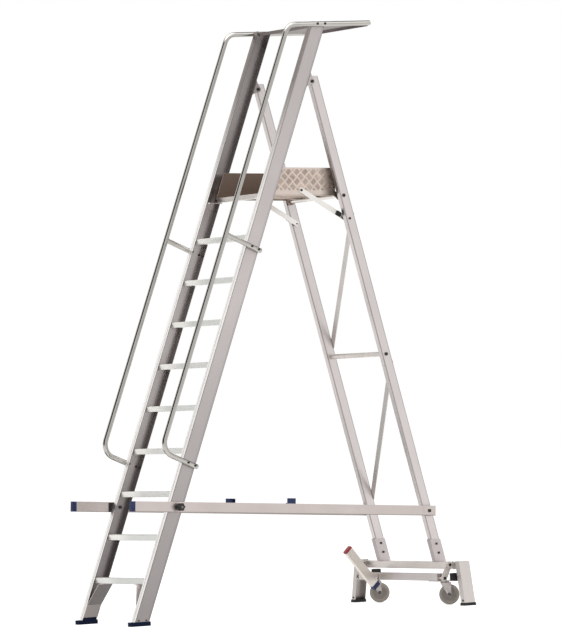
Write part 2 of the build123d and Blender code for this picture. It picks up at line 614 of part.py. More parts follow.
def make_legs():
    height = LEG_TOP - BEAM_TOP
    run = -LEG_LEAN * height
    foot = leg_axis(BEAM_TOP)
    wall_run = LEG_WALL / LEG_SIN
    outer = leaning(LEG_IN, LEG_OUT, foot - LEG_RUN / 2, foot + LEG_RUN / 2, BEAM_TOP, LEG_TOP, run_y=run)
    hollow = leaning(LEG_IN + LEG_WALL, LEG_OUT - LEG_WALL, foot - LEG_RUN / 2 + wall_run,
                     foot + LEG_RUN / 2 - wall_run, BEAM_TOP, LEG_TOP, run_y=run)
    leg = outer - hollow
    corner_gap = HINGE_BASE + LEG_CORNER_GAP
    corner = [along_stile(-3 * HINGE_BASE_HALF, -LEG_DEPTH), along_stile(3 * HINGE_BASE_HALF, -LEG_DEPTH),
              along_stile(3 * HINGE_BASE_HALF, corner_gap), along_stile(-3 * HINGE_BASE_HALF, corner_gap)]
    leg -= plate_x(make_face(Polyline(*corner, close=True)), LEG_IN - LEG_WALL, LEG_OUT + LEG_WALL)
    across = (LEG_IN - LEG_WALL, LEG_OUT + LEG_WALL)
    leg -= rod_x(*across, HINGE_Y, HINGE_Z, HINGE_PIN / 2 + RUNNING_GAP)
    for y, z in ((PLATFORM_PIVOT_Y, PLATFORM_PIVOT_Z), (MIDDLE_BAR_Y, MIDDLE_BAR_Z),
                 (SPREADER_PIN_Y, SPREADER_PIN_Z)):
        leg -= rod_x(*across, y, z, STUD / 2 + HOLE_GAP)
    for y, z in [(BRACE_FOOT_Y, BRACE_FOOT_Z)] + SLEEVE_BOLTS:
        leg -= rod_x(*across, y, z, BRACE_BOLT / 2 + HOLE_GAP)
    add_pair("rear_leg", leg)


def make_crossbars():
    """Round tubes between the legs, with a threaded insert in each end for its bolt."""
    for name, y, z in (("platform_cross_tube", PLATFORM_PIVOT_Y, PLATFORM_PIVOT_Z),
                       ("middle_crossbar", MIDDLE_BAR_Y, MIDDLE_BAR_Z)):
        tube = rod_x(-LEG_IN, LEG_IN, y, z, CROSS_TUBE / 2)
        tube -= rod_x(-LEG_IN + CROSS_TUBE, LEG_IN - CROSS_TUBE, y, z, CROSS_TUBE / 2 - CROSS_TUBE_WALL)
        for side in (-1, 1):
            tube -= rod_x(side * LEG_IN, side * (LEG_IN - CROSS_TUBE), y, z, STUD / 2 + HOLE_GAP)
        nodes[name] = [tube]


def make_diagonals():
    """Flat bars across the rear faces of the legs."""
    flats = []
    middle = (LEG_IN + LEG_OUT) / 2
    for z_right, z_left in (UPPER_DIAGONAL, LOWER_DIAGONAL):
        z_mid = (z_right + z_left) / 2
        rise = (z_right - z_left) / LEG_SIN
        face = Plane((0, leg_axis(z_mid), z_mid), x_dir=(1, 0, 0), z_dir=(0, LEG_SIN, LEG_COS))
        turn = -math.degrees(math.atan2(rise, 2 * middle))
        length = math.hypot(rise, 2 * middle) + DIAGONAL_WIDTH / 2
        bar = extrude(face.offset(LEG_DEPTH / 2) * Rot(0, 0, turn) * SlotOverall(length, DIAGONAL_WIDTH),
                      DIAGONAL_PLATE)
        flats.append(bar)
    nodes["frame_diagonals"] = flats


def make_sleeves():
    """U brackets on the beam that hold the feet of the legs."""
    height = SLEEVE_TOP - BEAM_TOP
    run = -LEG_LEAN * height
    foot = leg_axis(BEAM_TOP)
    half = SLEEVE_DEPTH / 2
    outer = leaning(LEG_IN - SLEEVE_PLATE, LEG_OUT + SLEEVE_PLATE, foot - half, foot + half,
                    BEAM_TOP, SLEEVE_TOP, run_y=run)
    hollow = leaning(LEG_IN, LEG_OUT, foot - LEG_RUN / 2, foot + 2 * half, BEAM_TOP, SLEEVE_TOP, run_y=run)
    sleeve = outer - hollow
    for y, z in SLEEVE_BOLTS:
        sleeve -= rod_x(LEG_IN - LEG_THICKNESS, LEG_OUT + LEG_THICKNESS, y, z, BRACE_BOLT / 2 + HOLE_GAP)
    add_both("leg_sleeves", [sleeve])


def post_outer(z):
    """X of a post's outer face."""
    return POST_OUTER_FOOT - POST_LEAN * z


def post_bar(x_in, x_out, half_depth, z0, z1):
    """Splayed bar inside the post's outline."""
    return leaning(post_outer(z0) - x_in, post_outer(z0) - x_out, BEAM_Y - half_depth, BEAM_Y + half_depth,
                   z0, z1, run_x=-POST_LEAN * (z1 - z0))


def make_posts_and_beam():
    """Splayed channel posts, open to the inside, and the beam that ends on their webs."""
    post_solid = post_bar(POST_THICKNESS, 0.0, POST_DEPTH / 2, REAR_PAD, POST_TOP)
    hollow = post_bar(POST_THICKNESS + POST_WALL, POST_WALL, POST_DEPTH / 2 - POST_WALL, REAR_PAD,
                      POST_TOP - POST_WALL)
    add_pair("stabiliser_post", post_solid - hollow)

    half = post_outer(BEAM_BOTTOM)
    beam = block(-half, half, BEAM_FRONT, BEAM_FRONT + BEAM_DEPTH, BEAM_BOTTOM, BEAM_TOP)
    beam -= block(-half, half, BEAM_FRONT + BEAM_WALL, BEAM_FRONT + BEAM_DEPTH - BEAM_WALL,
                  BEAM_BOTTOM + BEAM_WALL, BEAM_TOP - BEAM_WALL)
    past_web = post_bar(POST_WALL, -POST_THICKNESS, POST_DEPTH / 2, REAR_PAD, POST_TOP)
    beam -= past_web
    beam -= left_of(past_web)
    nodes["stabiliser_beam"] = [beam]

    x1 = POST_OUTER_FOOT - POST_LEAN * REAR_PAD
    pad = block(x1 - POST_THICKNESS - REAR_PAD_MARGIN, x1 + REAR_PAD_MARGIN,
                BEAM_Y - POST_DEPTH / 2 - REAR_PAD_MARGIN, PAD_REAR, 0, REAR_PAD)
    pad = fillet(pad.edges().filter_by(Axis.Z), REAR_PAD_MARGIN)
    add_both("rear_feet", [pad])


def make_ears():
    """Plates on the front of the beam, each with the pin that a castor link turns on."""
    x0 = LINK_X + LINK_PLATE + EAR_GAP
    outline = Pos(LINK_TOP_Y, LINK_TOP_Z) * Circle(LINK_END)
    reach = BEAM_FRONT - LINK_TOP_Y
    low = LINK_TOP_Z - LINK_END
    high = min(BEAM_TOP, LINK_TOP_Z + LINK_END)
    outline += Pos(LINK_TOP_Y + reach / 2, (low + high) / 2) * Rectangle(reach, high - low)
    ear = plate_x(outline, x0, x0 + LINK_PLATE)
    head_end = LINK_X - FIT_GAP
    ear += rod_x(head_end, x0, LINK_TOP_Y, LINK_TOP_Z, LINK_PIN / 2)
    ear += rod_x(head_end - PIN_HEAD_LENGTH, head_end, LINK_TOP_Y, LINK_TOP_Z, PIN_HEAD)
    add_both("castor_ears", [ear])


def make_frame_bolts():
    """Crossbar bolts, brace pins, spreader pins and sleeve bolts."""
    pieces = []
    for y, z in ((PLATFORM_PIVOT_Y, PLATFORM_PIVOT_Z), (MIDDLE_BAR_Y, MIDDLE_BAR_Z)):
        bolt = rod_x(LEG_IN - CROSS_TUBE / 2, LEG_OUT + BIG_BOLT_HEIGHT, y, z, STUD / 2)
        pieces.append(bolt + hex_x(LEG_OUT, LEG_OUT + BIG_BOLT_HEIGHT, y, z, BIG_BOLT_HEAD))
    inner_end = PLATFORM_HALF_WIDTH + BRACE_GAP - BOLT_HEAD_HEIGHT / 2
    brace_pin = rod_x(inner_end, LEG_OUT + BOLT_HEAD_HEIGHT, BRACE_FOOT_Y, BRACE_FOOT_Z, BRACE_BOLT / 2)
    brace_pin += hex_x(LEG_OUT, LEG_OUT + BOLT_HEAD_HEIGHT, BRACE_FOOT_Y, BRACE_FOOT_Z, BOLT_HEAD)
    pieces.append(brace_pin)
    seat = SPREADER_OUT + FIT_GAP
    nut_end = LEG_IN - BIG_BOLT_HEIGHT
    spreader_pin = rod_x(nut_end, seat + BIG_BOLT_HEIGHT, SPREADER_PIN_Y, SPREADER_PIN_Z, STUD / 2)
    spreader_pin += hex_x(nut_end, LEG_IN, SPREADER_PIN_Y, SPREADER_PIN_Z, BIG_BOLT_HEAD)
    spreader_pin += rod_x(LEG_OUT, SPREADER_IN - FIT_GAP, SPREADER_PIN_Y, SPREADER_PIN_Z, BIG_BOLT_HEAD / 2)
    spreader_pin += hex_x(seat, seat + BIG_BOLT_HEIGHT, SPREADER_PIN_Y, SPREADER_PIN_Z, BIG_BOLT_HEAD)
    pieces.append(spreader_pin)
    for y, z in SLEEVE_BOLTS:
        pieces.append(outer_bolt(LEG_OUT + SLEEVE_PLATE, LEG_IN - SLEEVE_PLATE, y, z, BRACE_BOLT))
    add_both("frame_bolts", pieces)


def make_platform():
    nose = front(PLATFORM_TOP) + PLATFORM_SETBACK
    deck_front = nose + NOSING_DEPTH
    nosing = block(-PLATFORM_INNER, PLATFORM_INNER, nose, deck_front, PLATFORM_BOTTOM, PLATFORM_TOP)
    nosing = fillet(nosing.edges().filter_by(Axis.X).sort_by(Axis.Y)[:2], NOSING_ROUND)
    rib_count = int(NOSING_DEPTH / STEP_RIB_PITCH) - 1
    for index in range(rib_count):
        y = nose + (index + 1.5) * STEP_RIB_PITCH
        nosing -= block(-PLATFORM_INNER, PLATFORM_INNER, y - STEP_RIB_PITCH / 4, y + STEP_RIB_PITCH / 4,
                        PLATFORM_TOP - STEP_RIB_HEIGHT, PLATFORM_TOP)
    hollow_top = PLATFORM_TOP - 2 * DECK_SHEET
    nosing -= block(-PLATFORM_INNER, PLATFORM_INNER, nose + DECK_SHEET, deck_front - DECK_SHEET,
                    PLATFORM_BOTTOM + DECK_SHEET, hollow_top)
    nodes["platform_nosing"] = [nosing]

    deck_top = PLATFORM_TOP - DECK_DROP
    deck_low = deck_top - DECK_HEIGHT
    deck = block(-PLATFORM_INNER, PLATFORM_INNER, deck_front, DECK_REAR, deck_low, deck_top)
    bay = (2 * PLATFORM_INNER - (DECK_BAYS + 1) * DECK_SHEET) / DECK_BAYS
    for index in range(DECK_BAYS):
        x0 = -PLATFORM_INNER + DECK_SHEET + index * (bay + DECK_SHEET)
        deck -= block(x0, x0 + bay, deck_front + DECK_SHEET, DECK_REAR - DECK_SHEET,
                      deck_low, deck_top - DECK_SHEET)
    nodes["platform_deck"] = [deck]

    top = PLATFORM_TOP + TOE_BOARD_HEIGHT
    low = PLATFORM_TOP - TOE_BOARD_DROP
    eye = CROSS_TUBE / 2 + PIVOT_EYE_WALL
    outline = make_face(Polyline((front(low) + PLATFORM_SETBACK, low), (DECK_REAR, low), (DECK_REAR, top),
                                 (front(top) + PLATFORM_SETBACK, top), close=True))
    outline += Pos(PLATFORM_PIVOT_Y, PLATFORM_PIVOT_Z) * Circle(eye)
    lug_top = PLATFORM_PIVOT_Z + eye
    outline += make_face(Polyline((DECK_REAR - eye, low), (PLATFORM_PIVOT_Y, PLATFORM_PIVOT_Z - eye),
                                  (PLATFORM_PIVOT_Y, lug_top), (DECK_REAR - eye, lug_top), close=True))
    board = plate_x(outline, PLATFORM_INNER, PLATFORM_HALF_WIDTH)
    board -= rod_x(0, LEG_IN, PLATFORM_PIVOT_Y, PLATFORM_PIVOT_Z, CROSS_TUBE / 2 + RUNNING_GAP)
    board -= rod_x(0, LEG_IN, BRACE_TOP_Y, BRACE_TOP_Z, BRACE_BOLT / 2 + HOLE_GAP)
    add_pair("toe_board", board)
    nodes["toe_board_rear"] = [block(-PLATFORM_INNER, PLATFORM_INNER, DECK_REAR - TOE_BOARD_SHEET, DECK_REAR,
                                     deck_top, top)]

    seat = PLATFORM_HALF_WIDTH + 2 * BRACE_GAP + BRACE_PLATE
    add_both("platform_bolts", [outer_bolt(seat, PLATFORM_INNER, BRACE_TOP_Y, BRACE_TOP_Z, BRACE_BOLT)])


def make_platform_braces():
    """Flat bars hinged on the toe boards, each with an open slot on the leg's pin."""
    x0 = PLATFORM_HALF_WIDTH + BRACE_GAP
    dy = BRACE_FOOT_Y - BRACE_TOP_Y
    dz = BRACE_FOOT_Z - BRACE_TOP_Z
    span = math.hypot(dy, dz)
    turn = math.degrees(math.atan2(dz, dy))
    past = BRACE_PAST_PIN
    place = Pos(BRACE_TOP_Y, BRACE_TOP_Z) * Rot(0, 0, turn)
    outline = Circle(BRACE_WIDTH / 2) + Pos((span + past) / 2, 0) * Rectangle(span + past, BRACE_WIDTH)
    slot_half = BRACE_BOLT / 2 + BRACE_SLOT_GAP
    mouth = slot_half + past * math.tan(math.radians(BRACE_SLOT_FLARE))
    end = span + past
    slot = make_face(Polyline((span, -slot_half), (end, -mouth), (end, mouth), (span, slot_half), close=True))
    outline -= Pos(span, 0) * Circle(slot_half)
    outline -= slot
    outline -= Circle(BRACE_BOLT / 2 + RUNNING_GAP)
    brace = plate_x(place * outline, x0, x0 + BRACE_PLATE)
    add_pair("platform_brace", brace)

    at = span - CLIP_FROM_FOOT
    clip_outline = place * (Pos(at, 0) * RectangleRounded(CLIP_LENGTH, BRACE_WIDTH, CLIP_THICKNESS))
    clip = plate_x(clip_outline, x0 + BRACE_PLATE, x0 + BRACE_PLATE + CLIP_THICKNESS)
    add_pair("brace_clip", clip)


def bar_place():
    """Puts a shape drawn along the spreader, from the knob to the rear, into place as (y, z)."""
    return Pos(KNOB_Y, KNOB_Z) * Rot(0, 0, -SPREADER_TILT)


def make_spreaders():
    """Rectangular tubes from the front handle past the stile to the pin on the leg."""
    rear = SPREADER_SPAN + SPREADER_PAST_PIN
    body_front = SPREADER_CAP - SPREADER_FRONT
    length = rear - body_front
    outer = bar_place() * (Pos((rear + body_front) / 2, 0) * Rectangle(length, SPREADER_HEIGHT))
    inner_height = SPREADER_HEIGHT - 2 * SPREADER_WALL
    hollow = bar_place() * (Pos((rear + body_front) / 2, 0) * Rectangle(length, inner_height))
    bar = plate_x(outer, SPREADER_IN, SPREADER_OUT)
    bar -= plate_x(hollow, SPREADER_IN + SPREADER_WALL, SPREADER_OUT - SPREADER_WALL)
    bar -= rod_x(STILE_OUT, SPREADER_OUT + SPREADER_WALL, KNOB_Y, KNOB_Z, STUD / 2 + RUNNING_GAP)
    width = STUD + 2 * NOTCH_GAP
    depth = SPREADER_HEIGHT
    slot = Circle(width / 2) + Pos(0, -depth / 2) * Rectangle(width, depth)
    notch = Pos(SPREADER_PIN_Y, SPREADER_PIN_Z) * Rot(0, 0, -NOTCH_LEAN) * slot
    bar -= plate_x(notch, STILE_OUT, SPREADER_OUT + SPREADER_WALL)
    add_pair("spreader_bar", bar)

    front_end = -SPREADER_FRONT
    cap_outline = Pos(front_end + SPREADER_CAP / 2, 0) * Rectangle(SPREADER_CAP, SPREADER_HEIGHT)
    cap = plate_x(bar_place() * cap_outline, SPREADER_IN, SPREADER_OUT)
    stem_outline = Pos(body_front + SPREADER_CAP / 4, 0) * Rectangle(SPREADER_CAP / 2, inner_height - FIT_GAP)
    cap += plate_x(bar_place() * stem_outline, SPREADER_IN + SPREADER_WALL + HOLE_GAP,
                   SPREADER_OUT - SPREADER_WALL - HOLE_GAP)
    top = SPREADER_HEIGHT / 2
    base = Pos(SPREADER_CLIP_AT, top + BRACE_PLATE / 2) * Rectangle(SPREADER_CLIP, BRACE_PLATE)
    hook = Pos(SPREADER_CLIP_AT + SPREADER_CLIP / 2 - BRACE_PLATE / 2, top + SPREADER_HOOK / 2) * Rectangle(
        BRACE_PLATE, SPREADER_HOOK)
    tongue = Pos(SPREADER_CLIP_AT + SPREADER_CLIP / 4, top + SPREADER_HOOK - BRACE_PLATE / 2) * Rectangle(
        SPREADER_CLIP / 2, BRACE_PLATE)
    clip = plate_x(bar_place() * (base + hook + tongue), SPREADER_IN, SPREADER_X + BRACE_PLATE)
    cheek = Pos(SPREADER_CLIP_AT, top + SPREADER_HOOK / 2) * Rectangle(SPREADER_CLIP, SPREADER_HOOK)
    clip += plate_x(bar_place() * cheek, SPREADER_X + BRACE_PLATE, SPREADER_X + 2 * BRACE_PLATE)
    for side, flip in (("right", lambda shape: shape), ("left", left_of)):
        nodes["spreader_plastics_" + side] = [flip(cap), flip(clip)]


def make_knobs():
    """Star knobs that clamp the spreader bars on their studs."""
    x0 = SPREADER_OUT + FIT_GAP
    hub_end = x0 + KNOB_HUB_LENGTH
    lobe_centre = KNOB_DIAMETER / 2 - KNOB_LOBE_RADIUS
    star = Circle(lobe_centre)
    for index in range(KNOB_LOBES):
        star += Rot(0, 0, index * 360 / KNOB_LOBES) * Pos(lobe_centre, 0) * Circle(KNOB_LOBE_RADIUS)
    knob = rod_x(x0, hub_end, KNOB_Y, KNOB_Z, KNOB_HUB / 2)
    knob += plate_x(Pos(KNOB_Y, KNOB_Z) * star, hub_end, hub_end + KNOB_HEAD_LENGTH)
    bore_end = x0 + KNOB_HUB_LENGTH + KNOB_HEAD_LENGTH / 2 + FIT_GAP
    knob -= rod_x(x0, bore_end, KNOB_Y, KNOB_Z, STUD / 2 + RUNNING_GAP)
    add_pair("star_knob", knob)


def make_links_and_pedal():
    """Links on a common rod, and the pedal on an arm from the same rod."""
    dy = LINK_FOOT_Y - LINK_TOP_Y
    dz = LINK_FOOT_Z - LINK_TOP_Z
    span = math.hypot(dy, dz)
    turn = math.degrees(math.atan2(dz, dy))
    outline = Pos(LINK_TOP_Y, LINK_TOP_Z) * Rot(0, 0, turn) * Pos(span / 2, 0) * SlotOverall(
        span + 2 * LINK_END, 2 * LINK_END)
    link = plate_x(outline, LINK_X, LINK_X + LINK_PLATE)
    across = (LINK_X - LINK_PLATE, LINK_X + 2 * LINK_PLATE)
    link -= rod_x(*across, LINK_TOP_Y, LINK_TOP_Z, LINK_PIN / 2 + RUNNING_GAP)
    link -= rod_x(*across, LINK_FOOT_Y, LINK_FOOT_Z, LINK_PIN / 2 + HOLE_GAP)
    add_both("castor_links", [link])
    rod_end = LINK_X + LINK_PLATE + FIT_GAP
    rod = rod_x(-rod_end, rod_end, LINK_FOOT_Y, LINK_FOOT_Z, LINK_PIN / 2)
    for side in (-1, 1):
        rod += rod_x(side * rod_end, side * (rod_end + PIN_HEAD_LENGTH), LINK_FOOT_Y, LINK_FOOT_Z, PIN_HEAD)
    nodes["castor_links"].append(rod)

    run_y = PEDAL_FOOT_Y - PEDAL_TOP_Y
    run_z = PEDAL_FOOT_Z - PEDAL_TOP_Z
    length = math.hypot(run_y, run_z)
    place = Pos(PEDAL_TOP_Y, PEDAL_TOP_Z) * Rot(0, 0, math.degrees(math.atan2(run_z, run_y)))
    inner_x = PEDAL_OUT - PEDAL_THICKNESS

    def pedal_piece(start, end, trim):
        """Stretch of the pedal's section, thinner all round by the trim."""
        shape = Pos((start + end) / 2, 0) * Rectangle(end - start, PEDAL_HEIGHT - 2 * trim)
        return plate_x(place * shape, inner_x + trim, PEDAL_OUT - trim)

    arm_y = PEDAL_TOP_Y + run_y * PEDAL_ARM_AT / length
    arm_z = PEDAL_TOP_Z + run_z * PEDAL_ARM_AT / length
    reach = math.hypot(arm_y - LINK_FOOT_Y, arm_z - LINK_FOOT_Z)
    arm_turn = math.degrees(math.atan2(arm_z - LINK_FOOT_Z, arm_y - LINK_FOOT_Y))
    arm_outline = Circle(PEDAL_ARM_RADIUS) + Pos(reach / 2, 0) * Rectangle(reach, 2 * PEDAL_ARM_RADIUS)
    arm_outline -= Circle(LINK_PIN / 2 + HOLE_GAP)
    arm_outline = Pos(LINK_FOOT_Y, LINK_FOOT_Z) * Rot(0, 0, arm_turn) * arm_outline
    arm = plate_x(arm_outline, PEDAL_X - PEDAL_ARM / 2, PEDAL_X + PEDAL_ARM / 2)
    tube = pedal_piece(PEDAL_CAP_TOP, length - PEDAL_CAP_FOOT, 0.0)
    tube -= pedal_piece(PEDAL_CAP_TOP, length - PEDAL_CAP_FOOT, PEDAL_WALL)
    tube += arm - pedal_piece(0.0, length, 0.0)
    nodes["pedal_tube"] = [left_of(tube)]

    stem = PEDAL_WALL + HOLE_GAP
    stem_end = PEDAL_CAP_TOP + PEDAL_CAP_STEM
    upper = pedal_piece(0.0, PEDAL_CAP_TOP, 0.0) + pedal_piece(PEDAL_CAP_TOP, stem_end, stem)
    foot_start = length - PEDAL_CAP_FOOT
    lower = pedal_piece(foot_start, length, 0.0)
    lower += pedal_piece(foot_start - PEDAL_CAP_STEM, foot_start, stem)
    nodes["pedal_cap_upper"] = [left_of(upper)]
    nodes["pedal_cap_lower"] = [left_of(lower)]


def make_castor_bar():
    """Bar with closed ends that turns on the links' rod, and a plate and king pin for each castor."""
    half = CASTOR_BAR / 2
    y0 = LINK_FOOT_Y - half
    y1 = LINK_FOOT_Y + half
    top = CASTOR_BAR_Z + half
    wall = CASTOR_BAR_WALL
    bar = block(-CASTOR_BAR_HALF, CASTOR_BAR_HALF, y0, y1, CASTOR_BAR_BOTTOM, top)
    bar -= block(-CASTOR_BAR_HALF + wall, CASTOR_BAR_HALF - wall, y0 + wall, y1 - wall,
                 CASTOR_BAR_BOTTOM + wall, top - wall)
    bar -= rod_x(-LINK_X, LINK_X, LINK_FOOT_Y, LINK_FOOT_Z, LINK_PIN / 2 + RUNNING_GAP)
    slot_half = PEDAL_ARM / 2 + ARM_SLOT_SIDE
    bar -= block(-PEDAL_X - slot_half, -PEDAL_X + slot_half, y0 - wall, y0 + ARM_SLOT_DEPTH,
                 CASTOR_BAR_BOTTOM - wall, LINK_FOOT_Z + ARM_SLOT_RISE)
    plate = block(CASTOR_X - CASTOR_PLATE_HALF, CASTOR_X + CASTOR_PLATE_HALF, y0,
                  CASTOR_Y + CASTOR_PLATE_HALF, CASTOR_PLATE_BOTTOM, CASTOR_BAR_BOTTOM)
    crown = AXLE_Z + WHEEL_RADIUS + CROWN_CLEARANCE
    king_pin = Pos(CASTOR_X, CASTOR_Y, (crown + CASTOR_PLATE_BOTTOM) / 2) * Cylinder(
        KING_PIN / 2, CASTOR_PLATE_BOTTOM - crown)
    for piece in (plate, king_pin):
        bar += piece
        bar += left_of(piece)
    plug_x = CASTOR_BAR_HALF + END_PLUG_PAST_BAR
    plug_y = LINK_FOOT_Y + END_PLUG_BEHIND_BAR
    bar += block(CASTOR_X, plug_x + END_PLUG, plug_y - END_PLUG / 2, plug_y + END_PLUG / 2,
                 CASTOR_PLATE_BOTTOM, CASTOR_BAR_BOTTOM)
    nodes["castor_bar"] = [bar]

    buffer = block(BUFFER_X - BUFFER_LENGTH / 2, BUFFER_X + BUFFER_LENGTH / 2, y0 + wall, y1 - wall,
                   top, top + BUFFER_HEIGHT)
    plug = block(plug_x, plug_x + END_PLUG, plug_y - END_PLUG / 2, plug_y + END_PLUG / 2,
                 CASTOR_BAR_BOTTOM, CASTOR_BAR_BOTTOM + END_PLUG_HEIGHT)
    nodes["castor_rubbers"] = [fillet(piece.edges().filter_by(Axis.Z), wall) for piece in (buffer, plug)]


def castor_place(side):
    """Swivel axis of a castor, turned as it stands."""
    return Pos(side * CASTOR_X, CASTOR_Y, 0) * Rot(0, 0, -CASTOR_TURN)


def make_castors():
    crown = AXLE_Z + WHEEL_RADIUS + CROWN_CLEARANCE
    head_top = CASTOR_PLATE_BOTTOM - FIT_GAP
    inner = WHEEL_WIDTH / 2 + FORK_GAP
    outer = inner + FORK_PLATE
    crown_plate = block(-outer, outer, -BEARING_RADIUS, TRAIL + BEARING_RADIUS / 2, crown, crown + FORK_CROWN)
    head_foot = crown + FORK_CROWN
    head = Pos(0, 0, (head_foot + head_top) / 2) * Cylinder(BEARING_RADIUS, head_top - head_foot)
    fork = crown_plate + head
    cheek = make_face(Polyline((-BEARING_RADIUS, crown), (TRAIL + BEARING_RADIUS / 2, crown),
                               (TRAIL + AXLE, AXLE_Z), (TRAIL - AXLE, AXLE_Z), close=True))
    cheek += Pos(TRAIL, AXLE_Z) * Circle(AXLE)
    for x0 in (-outer, inner):
        fork += plate_x(cheek, x0, x0 + FORK_PLATE)
    fork -= Pos(0, 0, (crown + head_top) / 2) * Cylinder(KING_PIN / 2 + RUNNING_GAP, head_top - crown)
    fork += rod_x(-outer - FORK_PLATE, outer + FORK_PLATE, TRAIL, AXLE_Z, AXLE / 2)
    wheel = rod_x(-WHEEL_WIDTH / 2, WHEEL_WIDTH / 2, TRAIL, AXLE_Z, WHEEL_RADIUS)
    recess = rod_x(WHEEL_WIDTH / 4, WHEEL_WIDTH, TRAIL, AXLE_Z, WHEEL_RADIUS - WHEEL_RIM)
    recess -= rod_x(WHEEL_WIDTH / 4, WHEEL_WIDTH / 2, TRAIL, AXLE_Z, AXLE)
    wheel -= recess
    wheel -= left_of(recess)
    wheel -= rod_x(-WHEEL_WIDTH, WHEEL_WIDTH, TRAIL, AXLE_Z, AXLE / 2 + RUNNING_GAP)
    for side, name in ((1, "right"), (-1, "left")):
        nodes["castor_fork_" + name] = [castor_place(side) * fork]
        nodes["castor_wheel_" + name] = [castor_place(side) * wheel]


make_stiles()
make_steps()
make_step_braces()
make_front_feet()
make_handrails()
make_handrail_bolts()
make_tray()
make_cleats()
hinge_sides = make_hinge_brackets()
make_ladder_fasteners(*hinge_sides)
make_legs()
make_crossbars()
make_diagonals()
make_sleeves()
make_posts_and_beam()
make_ears()
make_frame_bolts()
make_platform()
make_platform_braces()
make_spreaders()
make_knobs()
make_links_and_pedal()
make_castor_bar()
make_castors()

# Every node is moved so that the origin is on the floor, below the middle of the whole object
for name, pieces in nodes.items():
    solids = [solid for piece in pieces for solid in piece.solids()]
    whole = solids[0] if len(solids) == 1 else Compound(solids)
    export_step(whole.moved(Location((0, -Y_ORIGIN, 0))), "parts/" + name + ".step")

print("nodes", len(nodes))
print("y origin", round(Y_ORIGIN, 4))
for name, y, z in (("hinge", HINGE_Y, HINGE_Z), ("platform pivot", PLATFORM_PIVOT_Y, PLATFORM_PIVOT_Z),
                   ("brace pivot", BRACE_TOP_Y, BRACE_TOP_Z), ("knob", KNOB_Y, KNOB_Z),
                   ("link top", LINK_TOP_Y, LINK_TOP_Z), ("link foot", LINK_FOOT_Y, LINK_FOOT_Z),
                   ("castor", CASTOR_Y, AXLE_Z)):
    print(name, round(y, 4), round(z, 4))
print("castor x", round(CASTOR_X, 4), "link x", round(LINK_X, 4))
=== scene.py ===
import bmesh
import bpy
import json
from itertools import product
from math import cos, pi, radians, sin, tan
from mathutils import Color, Euler, Matrix, Vector


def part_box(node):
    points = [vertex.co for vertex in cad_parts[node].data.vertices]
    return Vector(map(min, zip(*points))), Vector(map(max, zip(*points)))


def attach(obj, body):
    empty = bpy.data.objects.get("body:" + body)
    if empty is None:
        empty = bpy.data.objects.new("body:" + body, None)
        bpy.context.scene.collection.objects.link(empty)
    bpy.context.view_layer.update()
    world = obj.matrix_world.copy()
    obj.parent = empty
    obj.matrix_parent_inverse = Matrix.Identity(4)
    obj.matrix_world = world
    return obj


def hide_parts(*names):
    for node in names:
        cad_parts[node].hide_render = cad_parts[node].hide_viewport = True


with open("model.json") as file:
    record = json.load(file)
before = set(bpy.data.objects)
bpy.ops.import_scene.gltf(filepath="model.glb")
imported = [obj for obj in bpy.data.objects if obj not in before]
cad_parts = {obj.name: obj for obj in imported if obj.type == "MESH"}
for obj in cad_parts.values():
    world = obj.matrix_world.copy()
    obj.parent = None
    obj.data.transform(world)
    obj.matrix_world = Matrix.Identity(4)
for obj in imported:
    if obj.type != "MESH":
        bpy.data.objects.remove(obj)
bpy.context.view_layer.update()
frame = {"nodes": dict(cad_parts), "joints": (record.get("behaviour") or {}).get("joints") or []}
nodes = frame["nodes"]
joints = {joint["name"]: joint for joint in frame["joints"]}

# Sizes in metres, angles in degrees
MM = 0.001
STILE_ANGLE = 68.0
LEG_ANGLE = 74.2
SPREADER_TILT = 3.066
RAIL_TILT = 2.6
BRACE_TILT = 28.0
PEDAL_TILT = -45.0
STILE_LEAN = 1 / tan(radians(STILE_ANGLE))
LEG_LEAN = -1 / tan(radians(LEG_ANGLE))
SPREADER_SLOPE = -tan(radians(SPREADER_TILT))

# The two sides, with the sign of X on each
SIDES = {"right": 1, "left": -1}
STEPS = ["step_%d" % number for number in range(1, 10)]

# Camera of the photograph: where it stands, how it is turned and its focal length in pixels
IMAGE_HEIGHT = 642
FOCAL_PIXELS = 3928.0
SENSOR = 36.0
CAMERA_X = 19.2732
CAMERA_AHEAD_OF_HINGE = 13.9387
CAMERA_Z = 1.1976
CAMERA_PITCH = 91.3577
CAMERA_ROLL = 2.0293
CAMERA_YAW = 54.3272
VIEW_DEPTH = 200.0

# Raised bars of the tread plate
GROUP_PITCH_U = 61 * MM
GROUP_PITCH_V = 59 * MM
BARS_IN_GROUP = 5
BAR_PITCH = 7.2 * MM
BAR_LENGTH = 37 * MM
BAR_WIDTH = 6.2 * MM
BAR_HEIGHT = 1.3 * MM
BAR_SHOULDER = 0.55
CROWN_LENGTH = 0.86
CROWN_WIDTH = 0.45
PLATE_MARGIN = 6 * MM
SLANT_ROOM = PLATE_MARGIN + 0.75 * BAR_LENGTH / 2
SHORTEST_BAR = 11 * MM
TREAD_ABOVE_NOSING = 38 * MM

# Wheels: half of the section in millimetres as (radius, place along the axle), from hub to tyre
WHEEL = [(6.1, 12.5), (11.0, 12.8), (13.0, 11.5), (14.5, 8.0), (18.0, 6.6), (40.5, 6.6), (44.0, 8.6),
         (45.5, 11.6), (48.5, 12.9), (53.5, 13.0), (58.0, 11.6), (61.1, 8.4), (62.3, 4.4), (62.5, 0.0)]

# Discs on the webs of the wheels, as (bore, radius, thickness)
HUB_FACE = 6.4 * MM
HUB_DISC = (6.2 * MM, 39.5 * MM, 0.9 * MM)

